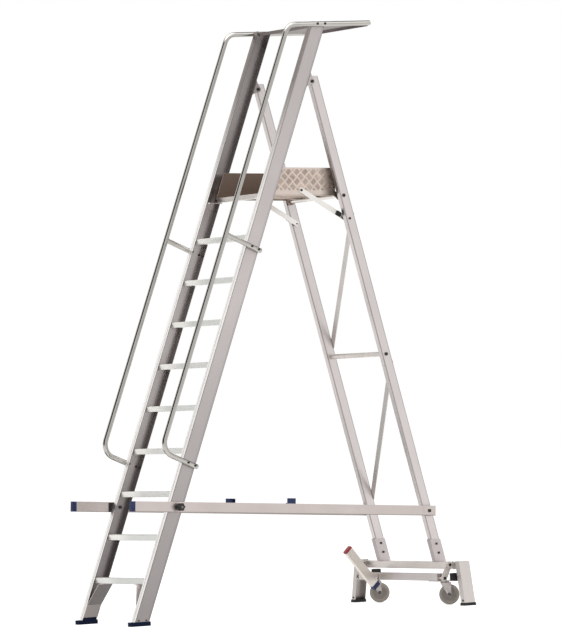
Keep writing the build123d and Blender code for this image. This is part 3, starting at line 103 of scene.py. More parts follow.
# Star knobs: layers of the head in millimetres as (height, share of the radius), and the neck below it
KNOB_SEGMENTS = 72
KNOB_LOBES = 6
KNOB_MEAN = 22.6 * MM
KNOB_WAVE = 2.4 * MM
KNOB_HEAD = 24 * MM
KNOB_LAYERS = ((0.0, 0.62), (0.0, 0.9), (2.0, 0.98), (5.0, 1.0), (16.0, 1.0), (20.0, 0.96), (22.6, 0.86),
               (23.8, 0.68), (24.0, 0.4))
NECK_BORE = 5.1 * MM
NECK_RADIUS = 14 * MM
NECK_SOFT = 0.6 * MM
NECK_OVERLAP = 1 * MM

# Bolt heads: those wider than WIDE_HEAD are the tall ones, and smaller ones than SMALL_HEAD stay plain
SMALL_HEAD = 12 * MM
WIDE_HEAD = 17 * MM
TALL_HEAD = 6.5 * MM
LOW_HEAD = 5 * MM
HEAD_CORE = 0.4
HEAD_CROWN = 0.8 * MM
WASHER_RIM = 2.5 * MM
WASHER = 1.2 * MM
PLAIN_FASTENERS_BELOW = 1.0

# Weld beads: radii, and how far those of the steps stop short
SLEEVE_BEAD = 2.6 * MM
SMALL_BEAD = 2.2 * MM
STEP_BEAD = 2.4 * MM
STEP_BEAD_INSET = 8 * MM

# Castor bar: its depth, its castor plates and the middle of the swivel raceway
CASTOR_BAR = 45 * MM
CASTOR_PLATE = 76 * MM
PLATE_TOP = 150.5 * MM
RACEWAY = 140 * MM

# Rings and nuts in millimetres as (radius, place along the axis), the washer as (bore, radius, thickness)
RACEWAY_RING = [(24.0, -3.0), (28.0, -1.6), (28.6, 0.0), (28.0, 1.6), (24.0, 3.0)]
AXLE_NUT = [(0.2, 0.0), (9.5, 0.0), (9.5, 5.0), (8.0, 6.2), (0.2, 6.2)]
LINK_NUT = [(0.3, 0.0), (10.0, 0.0), (10.0, 4.6), (8.6, 5.6), (0.3, 5.6)]
NUT_SIDES = 6
NUT_SMOOTH = 25.0
AXLE_NUT_FACE = 18.8 * MM
AXLE_WASHER_FACE = 18.6 * MM
AXLE_WASHER = (6 * MM, 11.5 * MM, 1.2 * MM)
LINK_THICK = 9.8 * MM

# Ribs as (first place, pitch, count, thickness, how far they stand out)
FRONT_FOOT_RIBS = (3 * MM, 4.5 * MM, 5, 1.8 * MM, 0.9 * MM)
REAR_FOOT_RIBS = (2.5 * MM, 5 * MM, 3, 2 * MM, 0.9 * MM)
BLOCK_RIBS = (5 * MM, 7 * MM, 6, 3 * MM, 1.6 * MM)
PLUG_RIB_COUNT = 6
PLUG_RIB = 4 * MM
PLUG_RIB_PROUD = 1.4 * MM
PLUG_RIB_INSET = 1 * MM
FOOT_BOLT_INSET = 4 * MM
FOOT_BOLT_RISE = 13 * MM
FOOT_SOFT = 0.5 * MM
RIB_SOFT = 0.6 * MM

# Pedal caps: half of their height, and their rims as places along the pedal
CAP_HALF = 27 * MM
RIM_HALF = 1.3 * MM
RIM_PROUD = 0.9 * MM
RED_RIMS = (-1.0 * MM, 1.5 * MM)
BLUE_RIMS = (-12.0 * MM, -5.0 * MM, 2.0 * MM, 9.0 * MM)

# Keeper plates on the rear ends of the spreaders, and friction plates round their studs
KEEPER_LENGTH = 92 * MM
KEEPER_INSET = 2 * MM
KEEPER_HALF = 29 * MM
KEEPER_DEPTHS = (0.05 * MM, 1.1 * MM)
KEEPER_SOFT = 0.3 * MM
FRICTION_DEPTHS = (-3.8 * MM, -0.4 * MM)
FRICTION_RUNS = (-76 * MM, 40 * MM)
FRICTION_RISES = (-30 * MM, 26 * MM)
FRICTION_SOFT = 0.8 * MM

# Rounded heads and pads as (radius, height)
KNOB_CAP = (8 * MM, 1.2 * MM)
KING_NUT = (13 * MM, 9 * MM)
FOOT_BOLT = (6.5 * MM, 4 * MM)
TRAY_RIVET = (5 * MM, 2 * MM)
CLIP_PAD = (9 * MM, 2.2 * MM)

# Rolled edges, rows of rivets and stile beads
BOARD_EDGE = 2.8 * MM
BOARD_EDGE_INSET = 2 * MM
TRAY_HEM = 2.4 * MM
TRAY_REAR_INSET = 1.5 * MM
TRAY_CORNER = 40 * MM
RIVET_INSET = 24 * MM
RIVET_SHARES = (0.4, 0.65, 0.92)
STILE_BEAD = 0.9 * MM
STILE_BEAD_END = 4 * MM
STILE_BEAD_SHARES = (0.09, 0.91)
FRONT_BEAD_SHIFT = 0.1

# Painted shade and light on the metal: dark lines along edges, and heights and places between which it comes
# or goes
LINE_WIDTH = 6 * MM
LINE_DEPTH = 0.5
STILE_FLANGE = 40 * MM
# Painted shade on the sides of the stiles: heights where it fades out above the floor and fades in at the
# top, and its depth there
FLOOR_SHADE_HEIGHTS = (0.1, 1.9)
TOP_SHADE_HEIGHTS = (2.3, 3.4)
TOP_SHADE_DEPTH = 0.3
# Painted light on the stile fronts: heights where it turns to painted shade, and the depth of the painted
# shade behind the flange
FRONT_SHADE_HEIGHTS = (2.5, 3.2)
INSIDE_SHADE_DEPTH = 0.6
# Painted shade on inward faces: the height where it is least, how far from it it grows, and its least share
LIGHTEST_HEIGHT = 1.4
SHADE_AWAY = (0.2, 1.4)
LEAST_SHADE = 0.4
# Places along X where the painted light on the steps' left ends fades out
LIT_STEP_END = (-0.14, -0.03)
# Painted shade at the rear ends of the platform's plates: where it starts, where it is full, and its depth
REAR_SHADE_START = 110 * MM
REAR_SHADE_FULL = 40 * MM
REAR_SHADE_DEPTH = 0.85

# Faces that are shaded: how far they look along an axis, from fully to not at all
FRONTS = ("Y", -0.95, -0.8)
UNDERSIDES = ("Z", -0.3, -0.1)

# Light: world, floor, and lamps as (name, place, point they look at, size, power)
WHITE = (1.0, 1.0, 1.0, 1.0)
WORLD_LIGHT = 0.55
FLOOR_SIZE = 120.0
FLOOR_GLOW = 0.62
LAMPS = (("key", (0.8, -0.8, 10.0), (0, 0, 1.6), 7.5, 420),
         ("fill", (7.0, 5.0, 9.0), (0, 0, 1.7), 5.0, 90))

# Dark cards for the lines in the polished tubes, as (place, width, height); the low one lies on the floor
CARDS = (((-0.6, -8.0, 6.5), 10.0, 11.0), ((-3.0, 6.0, 8.5), 11.0, 8.0), ((-1.6, -1.1, 0.02), 2.0, 1.8))
LOW_CARD = 1.0


def linear(*values):
    """Linear colour from an sRGB colour of 0 to 255."""
    colour = Color([value / 255 for value in values]).from_srgb_to_scene_linear()
    return (*colour, 1.0)


def shade(colour, factor):
    """A colour made darker or lighter."""
    return (*[min(1.0, channel * factor) for channel in colour[:3]], 1.0)


def even(scale):
    """The same scale along all three axes."""
    return (scale, scale, scale)


class Recipe:
    """Node tree of a material or a world, with short ways to add its nodes."""

    def __init__(self, owner, shader="Principled BSDF"):
        owner.use_nodes = True
        self.owner = owner
        self.tree = owner.node_tree
        self.shader = self.tree.nodes[shader]
        self.place = self.add("TexCoord", "Object", {})
        self.normal = self.add("TexCoord", "Normal", {})

    def feed(self, node, inputs):
        """Gives inputs of a node their values, or links them to other nodes."""
        for key, value in inputs.items():
            if isinstance(value, bpy.types.NodeSocket):
                self.tree.links.new(value, node.inputs[key])
            else:
                node.inputs[key].default_value = value

    def add(self, kind, output, inputs, **settings):
        """One output of a new node with these inputs and settings."""
        node = self.tree.nodes.new("ShaderNode" + kind)
        for key, value in settings.items():
            setattr(node, key, value)
        self.feed(node, inputs)
        return node.outputs[output]

    def turned(self, scale, tilt):
        """Object coordinates, first turned about the axes and then stretched."""
        angles = [radians(angle) for angle in tilt]
        turn = self.add("Mapping", "Vector", {"Rotation": angles, "Vector": self.place})
        return self.add("Mapping", "Vector", {"Scale": scale, "Vector": turn})

    def noise(self, scale, tilt=(0, 0, 0), detail=3.0, roughness=0.55):
        """Cloudy pattern with a scale for each axis."""
        place = self.turned(scale, tilt)
        inputs = {"Scale": 1.0, "Detail": detail, "Roughness": roughness, "Vector": place}
        return self.add("TexNoise", "Fac", inputs)

    def spread(self, value, low, high, first=0.0, last=1.0):
        """Maps a value from one range to another, clamped."""
        inputs = {"Value": value, "From Min": low, "From Max": high, "To Min": first, "To Max": last}
        return self.add("MapRange", "Result", inputs)

    def calculate(self, operation, first, second=0.0):
        """Result of a sum on one or two values."""
        return self.add("Math", "Value", {0: first, 1: second}, operation=operation)

    def times(self, first, second):
        """Product of two values."""
        return self.calculate("MULTIPLY", first, second)

    def along(self, axis):
        """Place along an axis."""
        return self.add("SeparateXYZ", axis, {"Vector": self.place})

    def facing(self, axis):
        """How far a face looks along an axis, with its sign."""
        return self.add("SeparateXYZ", axis, {"Vector": self.normal})

    def away_from(self, value, middle):
        """Distance of a value from another, without its sign."""
        return self.calculate("ABSOLUTE", self.calculate("SUBTRACT", value, middle))

    def leaning(self, across, along, slope):
        """Place across a leaning bar, measured from a line with the slope of the bar."""
        return self.calculate("SUBTRACT", self.along(across), self.times(self.along(along), slope))

    def flange(self, start, depth, first, last):
        """On forward faces of a stile, one value at its front and another behind that depth, else zero."""
        place = self.leaning("Y", "Z", STILE_LEAN)
        behind = self.spread(place, start + depth / 2, start + depth, first, last)
        return self.times(behind, self.spread(self.facing("Y"), -0.8, -0.5, 1.0, 0.0))

    def inward(self):
        """One on faces that look towards the middle of the object, zero on the others."""
        return self.spread(self.times(self.along("X"), self.facing("X")), -0.2, -0.1, 1.0, 0.0)

    def sideways(self):
        """One on faces that look to the left or right, zero on the others."""
        facing = self.facing("X")
        return self.spread(self.times(facing, facing), 0.3, 0.8)

    def mix(self, factor, first, second):
        """Colour between two colours."""
        return self.add("Mix", "Result", {"Factor": factor, "A": first, "B": second}, data_type="RGBA")

    def bump(self, height, distance, strength=0.5, edge=0.0):
        """Surface relief, over edges rounded by the given radius."""
        inputs = {"Strength": strength, "Distance": distance, "Height": height}
        if edge:
            inputs["Normal"] = self.add("Bevel", "Normal", {"Radius": edge}, samples=4)
        self.feed(self.shader, {"Normal": self.add("Bump", "Normal", inputs)})

    def by_ray(self, cast, seen):
        """One strength for cast light, and another for camera, glossy and transmission rays."""
        kinds = ("Camera", "Glossy", "Transmission")
        first, second, third = [self.add("LightPath", "Is %s Ray" % kind, {}) for kind in kinds]
        largest = self.calculate("MAXIMUM", self.calculate("MAXIMUM", first, second), third)
        return self.spread(largest, 0.0, 1.0, cast, seen)

    def finish(self, colour, roughness):
        """Sets the last inputs of the shader and gives back the material."""
        self.feed(self.shader, {"Base Color": colour, "Roughness": roughness})
        return self.owner


def new_recipe(name, metallic, specular=0.5):
    """Recipe of a new material."""
    recipe = Recipe(bpy.data.materials.new(name))
    recipe.feed(recipe.shader, {"Metallic": metallic, "Specular IOR Level": specular})
    return recipe


def painted_shade_ends(recipe, tone, colour, factor):
    """Painted shade on the sides: darker towards the floor, and a little darker at the top."""
    wear_and_shade_tone = shade(colour, factor)
    floor = recipe.spread(recipe.along("Z"), *FLOOR_SHADE_HEIGHTS, 1.0, 0.0)
    tone = recipe.mix(recipe.times(floor, recipe.sideways()), tone, wear_and_shade_tone)
    top_shade = recipe.spread(recipe.along("Z"), *TOP_SHADE_HEIGHTS, 0.0, TOP_SHADE_DEPTH)
    return recipe.mix(recipe.times(top_shade, recipe.sideways()), tone, wear_and_shade_tone)


def painted_inside_shade(recipe, tone, colour, depth):
    """Painted shade on the faces that look inward, most of it far from the lightest height."""
    away = recipe.away_from(recipe.along("Z"), LIGHTEST_HEIGHT)
    inside_shade_amount = recipe.spread(away, *SHADE_AWAY, LEAST_SHADE * depth, depth)
    # Dark colour of the painted shade inside the channels
    return recipe.mix(recipe.times(inside_shade_amount, recipe.inward()), tone, linear(50, 44, 41))


def painted_front_light(recipe, tone, colour, start, depth):
    """Painted light on the front of a stile, painted shade towards its top, and painted shade on the inside
    behind its flange.
    """
    front_top_shade = recipe.spread(recipe.along("Z"), *FRONT_SHADE_HEIGHTS)
    # Near-white painted light on the front, turning to painted shade at the top
    front = recipe.mix(front_top_shade, linear(250, 247, 244), linear(146, 137, 133))
    tone = recipe.mix(recipe.flange(start, depth, 1.0, 0.0), tone, front)
    return recipe.mix(recipe.flange(start, depth, 0.0, INSIDE_SHADE_DEPTH), tone, linear(62, 54, 50))


def shaded_faces(recipe, tone, colour, axis, full, none, factor):
    """Darker faces where they look back along an axis, fully at one value and not at another."""
    shaded = recipe.spread(recipe.facing(axis), full, none, 1.0, 0.0)
    return recipe.mix(shaded, tone, shade(colour, factor))


def painted_edge_shade(recipe, tone, colour, across, along, slope, edges):
    """Painted shade: dark lines along the edges of a leaning bar, on its sides."""
    for edge in edges:
        away = recipe.away_from(recipe.leaning(across, along, slope), edge)
        line = recipe.spread(away, LINE_WIDTH / 2, LINE_WIDTH, LINE_DEPTH, 0.0)
        tone = recipe.mix(recipe.times(line, recipe.sideways()), tone, linear(60, 52, 48))
    return tone


def extruded_metal(name, colour, streak_scale, tilt=0.0, rough=0.36, metallic=1.0, painted_shading=()):
    """Extruded aluminium: fine die lines along the bar, cloudy handling marks and short scratches.

    Each entry of the last argument is a function that paints light or shade into the tone, with its last
    values.
    """
    recipe = new_recipe(name, metallic)
    colour = linear(*colour)
    streaks = recipe.noise(streak_scale, (tilt, 0, 0), detail=4.0)
    clouds = recipe.noise(even(3.0), detail=5.0, roughness=0.6)
    scratch_scale = [0.35 * value for value in streak_scale]
    scratches = recipe.noise(scratch_scale, (tilt + 4, 3, 2), detail=8.0, roughness=0.7)
    tone = recipe.mix(recipe.spread(streaks, 0.3, 0.7), shade(colour, 0.94), shade(colour, 1.05))
    tone = recipe.mix(recipe.spread(clouds, 0.35, 0.7), shade(colour, 0.92), tone)
    tone = recipe.mix(recipe.spread(scratches, 0.68, 0.74, 0.0, 0.35), tone, shade(colour, 1.25))
    for change, *values in painted_shading:
        tone = change(recipe, tone, colour, *values)
    recipe.bump(streaks, 0.06 * MM, edge=1.2 * MM)
    return recipe.finish(tone, recipe.spread(clouds, 0.3, 0.75, rough + 0.07, rough - 0.06))


def step_metal():
    """Bright steps: clean ribs with duller middles, and painted light on their left ends."""
    recipe = new_recipe("step_metal", 0.55)
    colour = linear(236, 235, 231)
    streaks = recipe.noise((3.0, 500.0, 500.0), detail=4.0)
    clouds = recipe.noise((6.0, 9.0, 9.0), detail=5.0, roughness=0.65)
    tone = recipe.mix(recipe.spread(streaks, 0.3, 0.7), shade(colour, 0.93), colour)
    tone = recipe.mix(recipe.spread(clouds, 0.4, 0.75), tone, linear(224, 226, 222))
    # Painted light: near white on the left ends of the steps
    lit_end = recipe.spread(recipe.along("X"), *LIT_STEP_END, 1.0, 0.0)
    tone = recipe.mix(lit_end, tone, linear(255, 253, 248))
    recipe.bump(streaks, 0.05 * MM, edge=0.8 * MM)
    return recipe.finish(tone, recipe.spread(clouds, 0.3, 0.7, 0.40, 0.30))


def tube_metal():
    """Polished rail tube with soft finger marks and a few dull bands."""
    recipe = new_recipe("tube_metal", 1.0)
    colour = linear(178, 175, 170)
    bands = recipe.noise((2.0, 2.0, 14.0), (90 - STILE_ANGLE, 0, 0))
    marks = recipe.noise((14.0, 14.0, 9.0), detail=6.0, roughness=0.7)
    tone = recipe.mix(recipe.spread(bands, 0.3, 0.7), shade(colour, 0.94), colour)
    tone = recipe.mix(recipe.spread(marks, 0.5, 0.72, 0.0, 0.5), tone, shade(colour, 0.88))
    recipe.bump(marks, 0.02 * MM, 0.3)
    return recipe.finish(tone, recipe.spread(marks, 0.35, 0.7, 0.12, 0.2))


def painted_rear_shade(recipe, tone):
    """Painted shade: darkens the rear ends of the platform's plates, on their sides."""
    rear_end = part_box("toe_board_rear")[1].y
    rear_shade_mask = recipe.spread(recipe.along("Y"), rear_end - REAR_SHADE_START, rear_end - REAR_SHADE_FULL, 0.0, REAR_SHADE_DEPTH)
    return recipe.mix(recipe.times(rear_shade_mask, recipe.sideways()), tone, linear(74, 62, 54))


def plate_metal():
    """Tread plate: mill finish with a warm tone, and painted shade inside the platform."""
    recipe = new_recipe("plate_metal", 0.8)
    colour = linear(220, 206, 196)
    grain = recipe.noise(even(120.0), detail=6.0, roughness=0.7)
    clouds = recipe.noise(even(8.0), detail=4.0)
    tone = recipe.mix(recipe.spread(grain, 0.35, 0.65), shade(colour, 0.9), colour)
    tone = recipe.mix(recipe.spread(clouds, 0.45, 0.7), tone, shade(colour, 0.9))
    tone = painted_rear_shade(recipe, tone)
    # Painted shade on the inner faces of the toe boards
    tone = recipe.mix(recipe.inward(), tone, linear(128, 112, 100))
    recipe.bump(grain, 0.1 * MM, edge=0.6 * MM)
    return recipe.finish(tone, recipe.spread(grain, 0.3, 0.7, 0.52, 0.38))


def bar_metal():
    """Raised bars of the tread plate, darker than the plate, with rubbed crowns."""
    recipe = new_recipe("bar_metal", 0.85)
    colour = linear(176, 159, 147)
    grain = recipe.noise(even(260.0), detail=5.0, roughness=0.7)
    rub = recipe.noise(even(12.0), detail=4.0)
    tone = recipe.mix(recipe.spread(rub, 0.35, 0.7), shade(colour, 0.8), shade(colour, 1.15))
    tone = painted_rear_shade(recipe, tone)
    recipe.bump(grain, 0.08 * MM)
    return recipe.finish(tone, recipe.spread(rub, 0.3, 0.7, 0.5, 0.38))


def plated_steel(name, colour, rough=0.36, metallic=0.95):
    """Zinc-plated steel: fine spangle and duller patches."""
    recipe = new_recipe(name, metallic)
    colour = linear(*colour)
    spangle = recipe.add("TexVoronoi", "Distance", {"Scale": 420.0, "Vector": recipe.place})
    patches = recipe.noise(even(40.0), detail=5.0, roughness=0.65)
    tone = recipe.mix(recipe.spread(spangle, 0.1, 0.7), shade(colour, 0.84), shade(colour, 1.08))
    tone = recipe.mix(recipe.spread(patches, 0.5, 0.72, 0.0, 0.7), tone, shade(colour, 0.72))
    recipe.bump(patches, 0.08 * MM, 0.4, edge=0.6 * MM)
    return recipe.finish(tone, recipe.spread(patches, 0.3, 0.7, rough - 0.06, rough + 0.12))


def moulded(name, colour, wear_and_shade_tone, rough=0.5, specular=0.4):
    """Moulded plastic or rubber: fine leathery grain, scuffs and a little dust."""
    recipe = new_recipe(name, 0.0, specular)
    colour = linear(*colour)
    wear_and_shade_tone = linear(*wear_and_shade_tone)
    grain = recipe.noise(even(900.0))
    scuffs = recipe.noise((60.0, 60.0, 35.0), (25, 12, 0), detail=7.0, roughness=0.7)
    dust = recipe.noise(even(18.0), detail=5.0, roughness=0.6)
    tone = recipe.mix(recipe.spread(dust, 0.4, 0.75, 0.0, 0.55), colour, wear_and_shade_tone)
    tone = recipe.mix(recipe.spread(scuffs, 0.62, 0.7, 0.0, 0.45), tone, wear_and_shade_tone)
    recipe.bump(grain, 0.12 * MM, edge=1.2 * MM)
    return recipe.finish(tone, recipe.spread(scuffs, 0.3, 0.7, rough - 0.06, rough + 0.14))


# Scales that stretch the die lines along each axis
ALONG_X = (4.0, 420.0, 420.0)
ALONG_Y = (420.0, 4.0, 420.0)
ALONG_Z = (420.0, 420.0, 4.0)

# Edges of the leaning bars, measured as the dark lines need them
stile_low, stile_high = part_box("stile_right")
stile_front = stile_low.y - STILE_LEAN * stile_low.z
stile_rear = stile_high.y - STILE_LEAN * stile_high.z
leg_low, leg_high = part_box("rear_leg_right")
leg_edges = (leg_low.y - LEG_LEAN * leg_high.z, leg_high.y - LEG_LEAN * leg_low.z)
spreader_low, spreader_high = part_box("spreader_bar_right")
spreader_under = spreader_low.z - SPREADER_SLOPE * spreader_high.y

# Materials, with colours from 0 to 255
# Painted light and shade that each metal gets, as functions with their values
stile_painted_shading = ((painted_shade_ends, 0.5), (painted_inside_shade, 0.4), (painted_front_light, stile_front, STILE_FLANGE),
              (painted_edge_shade, "Y", "Z", STILE_LEAN, (stile_front, stile_rear)))
stile_metal = extruded_metal("stile_metal", (200, 193, 192), ALONG_Z, 90 - STILE_ANGLE, painted_shading=stile_painted_shading)
# Step braces: a paler, less metallic copy of the stile metal as painted light, with painted shade on inward
# faces and undersides
brace_painted_shading = ((painted_inside_shade, 0.62), (shaded_faces, *UNDERSIDES, 0.24))
lit_brace_metal = extruded_metal("lit_brace_metal", (240, 229, 225), ALONG_Z, 90 - STILE_ANGLE, metallic=0.3,
                             painted_shading=brace_painted_shading)
leg_painted_shading = ((painted_edge_shade, "Y", "Z", LEG_LEAN, leg_edges),)
leg_metal = extruded_metal("leg_metal", (212, 205, 203), ALONG_Z, LEG_ANGLE - 90, painted_shading=leg_painted_shading)
beam_metal = extruded_metal("beam_metal", (222, 215, 210), ALONG_X)
# Castor bar: a darker copy of the beam metal, as painted shade
shaded_bar_metal = extruded_metal("shaded_bar_metal", (200, 193, 191), ALONG_X)
sleeve_painted_shading = ((shaded_faces, *FRONTS, 0.7),)
sleeve_metal = extruded_metal("sleeve_metal", (194, 185, 185), ALONG_Z, LEG_ANGLE - 90, painted_shading=sleeve_painted_shading)
post_painted_shading = ((painted_inside_shade, 0.56), (shaded_faces, *FRONTS, 0.75))
post_metal = extruded_metal("post_metal", (212, 205, 201), ALONG_Z, painted_shading=post_painted_shading)
spreader_painted_shading = ((painted_edge_shade, "Z", "Y", SPREADER_SLOPE, (spreader_under,)),)
spreader_metal = extruded_metal("spreader_metal", (200, 190, 186), ALONG_Y, SPREADER_TILT, painted_shading=spreader_painted_shading)
flat_metal = extruded_metal("flat_metal", (198, 193, 189), ALONG_Z)
bright_flat = extruded_metal("bright_flat", (238, 234, 229), ALONG_Y, BRACE_TILT)
sheet_metal = extruded_metal("sheet_metal", (142, 133, 132), ALONG_X, rough=0.44)
pedal_metal = extruded_metal("pedal_metal", (215, 208, 200), ALONG_Z, PEDAL_TILT)
weld_metal = extruded_metal("weld_metal", (176, 170, 166), even(160.0), rough=0.5)
bright_steps = step_metal()
polished_tube = tube_metal()
tread_plate = plate_metal()
tread_bars = bar_metal()
zinc = plated_steel("zinc_steel", (180, 173, 170))
# Castor links and ears: a paler, less metallic copy of the zinc, painted light in place of a reflection
lit_zinc = plated_steel("lit_zinc", (238, 230, 224), 0.5, 0.25)
dark_zinc = plated_steel("dark_steel", (96, 92, 92), 0.42)
black_bolt = plated_steel("black_bolt", (62, 58, 58), 0.45)
black_plastic = moulded("black_plastic", (26, 24, 25), (62, 58, 56))
grey_plastic = moulded("grey_plastic", (120, 118, 116), (150, 146, 142))
blue_plastic = moulded("blue_plastic", (18, 36, 80), (44, 66, 112), 0.42)
red_plastic = moulded("red_plastic", (160, 40, 48), (186, 92, 92), 0.42)
navy_foot = moulded("navy_foot", (10, 22, 52), (24, 38, 68), 0.62, specular=0.15)
black_rubber = moulded("black_rubber", (42, 40, 42), (80, 77, 76), 0.68)
wheel_tyre = moulded("wheel_tyre", (186, 177, 168), (152, 144, 137), 0.55)
wheel_hub = moulded("wheel_hub", (163, 155, 148), (132, 125, 119), 0.5)


def both(*names):
    """Names of the left and right nodes of some parts."""
    return [name + side for name in names for side in ("_left", "_right")]


NODE_MATERIALS = {
    stile_metal: both("stile") + ["platform_cleats", "hinge_brackets"],
    lit_brace_metal: ["step_braces"],
    leg_metal: both("rear_leg"),
    sleeve_metal: ["leg_sleeves"],
    beam_metal: ["stabiliser_beam", "middle_crossbar", "platform_nosing"],
    shaded_bar_metal: ["castor_bar"],
    flat_metal: ["frame_diagonals"],
    bright_flat: both("platform_brace") + ["platform_cross_tube"],
    post_metal: both("stabiliser_post"),
    spreader_metal: both("spreader_bar"),
    sheet_metal: ["top_tray"],
    pedal_metal: ["pedal_tube"],
    bright_steps: STEPS,
    polished_tube: both("handrail") + ["handrail_stubs"],
    tread_plate: both("toe_board") + ["toe_board_rear", "platform_deck"],
    zinc: both("castor_fork"),
    lit_zinc: ["castor_links", "castor_ears"],
    black_bolt: ["handrail_bolts", "ladder_fasteners", "frame_bolts", "platform_bolts"],
    black_plastic: both("star_knob", "brace_clip"),
    grey_plastic: ["handrail_plugs"],
    blue_plastic: both("spreader_plastics") + ["pedal_cap_lower"],
    red_plastic: ["pedal_cap_upper"],
    navy_foot: ["front_feet"],
    black_rubber: ["rear_feet", "castor_rubbers"],
    wheel_tyre: both("castor_wheel"),
}


def dress_nodes():
    """Gives every CAD node its material."""
    for material, names in NODE_MATERIALS.items():
        for name in names:
            for slot in nodes[name].material_slots:
                slot.material = material


def new_object(name, data):
    """Object in the scene that shows a mesh, a lamp or a camera."""
    made = bpy.data.objects.new(name, data)
    bpy.context.scene.collection.objects.link(made)
    return made


def mesh_object(name, mesh, material):
    """Object in the scene from a finished mesh and its material."""
    data = bpy.data.meshes.new(name)
    mesh.to_mesh(data)
    mesh.free()
    data.materials.append(material)
    return new_object(name, data)


def make_piece(name, mesh, material, body, smooth_angle=35.0, bevel=0.0):
    """Puts a mesh into the scene as a piece that rides on a body."""
    bmesh.ops.recalc_face_normals(mesh, faces=mesh.faces)
    piece = mesh_object(name, mesh, material)
    if bevel:
        modifier = piece.modifiers.new("bevel", "BEVEL")
        modifier.width = bevel
        modifier.segments = 3
        modifier.limit_method = "ANGLE"
    piece.data.shade_smooth()
    piece.data.set_sharp_from_angle(angle=radians(smooth_angle))
    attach(piece, body)
    return piece


def in_metres(profile):
    """A profile given in millimetres."""
    return [(radius * MM, run * MM) for radius, run in profile]


def side_vector(axis):
    """A direction square to an axis."""
    helper = Vector((0, 0, 1))
    if abs(axis.z) > 0.9:
        helper = Vector((0, 1, 0))
    return axis.cross(helper).normalized()


def side_of(low, high):
    """Sign of X on the side where a box lies."""
    return 1 if low.x + high.x > 0 else -1


def outer_face(low, high):
    """X of the face of a box that is further from the middle of the object."""
    return high.x if side_of(low, high) > 0 else low.x


def reach(low, high):
    """Least and greatest distance of a box from the middle of the object, along X."""
    return sorted((abs(low.x), abs(high.x)))


def join_rows(mesh, first, second):
    """Faces between two closed rows of as many points."""
    for index, point in enumerate(first):
        after = (index + 1) % len(first)
        mesh.faces.new((point, first[after], second[after], second[index]))


def add_lathe(mesh, profile, centre, axis, segments=48):
    """Ring turned about an axis from a closed profile of (radius, place along the axis)."""
    axis = Vector(axis).normalized()
    across = side_vector(axis)
    upward = axis.cross(across)
    rings = []
    for index in range(segments):
        angle = 2 * pi * index / segments
        outward = across * cos(angle) + upward * sin(angle)
        points = [Vector(centre) + outward * radius + axis * run for radius, run in profile]
        rings.append([mesh.verts.new(point) for point in points])
    for ring, following in zip(rings, rings[1:] + rings[:1]):
        join_rows(mesh, ring, following)


def add_box(mesh, low, high, place=None):
    """Box between two corners, moved by a matrix."""
    corners = [Vector(corner) for corner in product(*zip(low, high))]
    if place:
        corners = [place @ corner for corner in corners]
    points = [mesh.verts.new(corner) for corner in corners]
    for face in ((0, 1, 3, 2), (4, 6, 7, 5), (0, 4, 5, 1), (2, 3, 7, 6), (0, 2, 6, 4), (1, 5, 7, 3)):
        mesh.faces.new([points[index] for index in face])


def add_rod(mesh, start, end, radius, segments=20):
    """Round bar between two points, with rounded ends."""
    start = Vector(start)
    end = Vector(end)
    length = (end - start).length
    tip = min(radius * 0.4, length / 4)
    core = radius * 0.04
    profile = [(core, 0.0), (radius - tip, 0.0), (radius, tip), (radius, length - tip),
               (radius - tip, length), (core, length)]
    add_lathe(mesh, profile, start, end - start, segments)


def add_dome(mesh, centre, axis, radius, height, segments=28):
    """Low rounded head that stands on a face."""
    core = radius * 0.02
    profile = [(core, 0.0), (radius, 0.0), (radius, height * 0.3), (radius * 0.82, height * 0.72),
               (radius * 0.5, height * 0.94), (core, height)]
    add_lathe(mesh, profile, centre, axis, segments)


def add_washer(mesh, centre, axis, inner, outer, thick):
    """Flat ring with a rounded outer edge."""
    soft = thick * 0.35
    profile = [(inner, 0.0), (outer, 0.0), (outer, thick - soft), (outer - soft, thick), (inner, thick)]
    add_lathe(mesh, profile, centre, axis, segments=36)


def add_bead(mesh, start, end, radius):
    """Weld bead: a row of overlapping drops along a line."""
    start = Vector(start)
    end = Vector(end)
    count = max(2, int((end - start).length / (radius * 1.1)))
    for index in range(count + 1):
        place = Matrix.Translation(start.lerp(end, index / count))
        bmesh.ops.create_icosphere(mesh, subdivisions=2, radius=radius, matrix=place)


def add_ribs_around(mesh, low, high, foot, ribs):
    """Level ribs round a block, from a given height up."""
    first, pitch, count, thick, proud = ribs
    for index in range(count):
        height = foot + first + pitch * index
        add_box(mesh, (low.x - proud, low.y - proud, height),
                (high.x + proud, high.y + proud, height + thick))


def islands(name):
    """Boxes of the separate solids of a CAD node, as (low corner, high corner)."""
    mesh = bmesh.new()
    mesh.from_mesh(nodes[name].data)
    bmesh.ops.remove_doubles(mesh, verts=mesh.verts, dist=0.01 * MM)
    left = set(mesh.verts)
    boxes = []
    while left:
        group = [left.pop()]
        for vert in group:
            joined = {edge.other_vert(vert) for edge in vert.link_edges} & left
            left -= joined
            group.extend(joined)
        places = list(zip(*[vert.co for vert in group]))
        low = Vector([min(values) for values in places])
        high = Vector([max(values) for values in places])
        boxes.append((low, high))
    mesh.free()
    return boxes


def add_plate_bar(mesh, centre, along, across, normal, length):
    """One raised bar: a long lens with sloping sides."""
    half = length / 2
    shoulder = half * BAR_SHOULDER
    wide = BAR_WIDTH / 2
    base = [(-half, 0), (-shoulder, -wide), (shoulder, -wide),
            (half, 0), (shoulder, wide), (-shoulder, wide)]
    top = centre + normal * BAR_HEIGHT
    foot = [mesh.verts.new(centre + along * u + across * v) for u, v in base]
    crown = [mesh.verts.new(top + along * u * CROWN_LENGTH + across * v * CROWN_WIDTH) for u, v in base]
    mesh.faces.new(crown)
    mesh.faces.new(foot[::-1])
    join_rows(mesh, foot, crown)


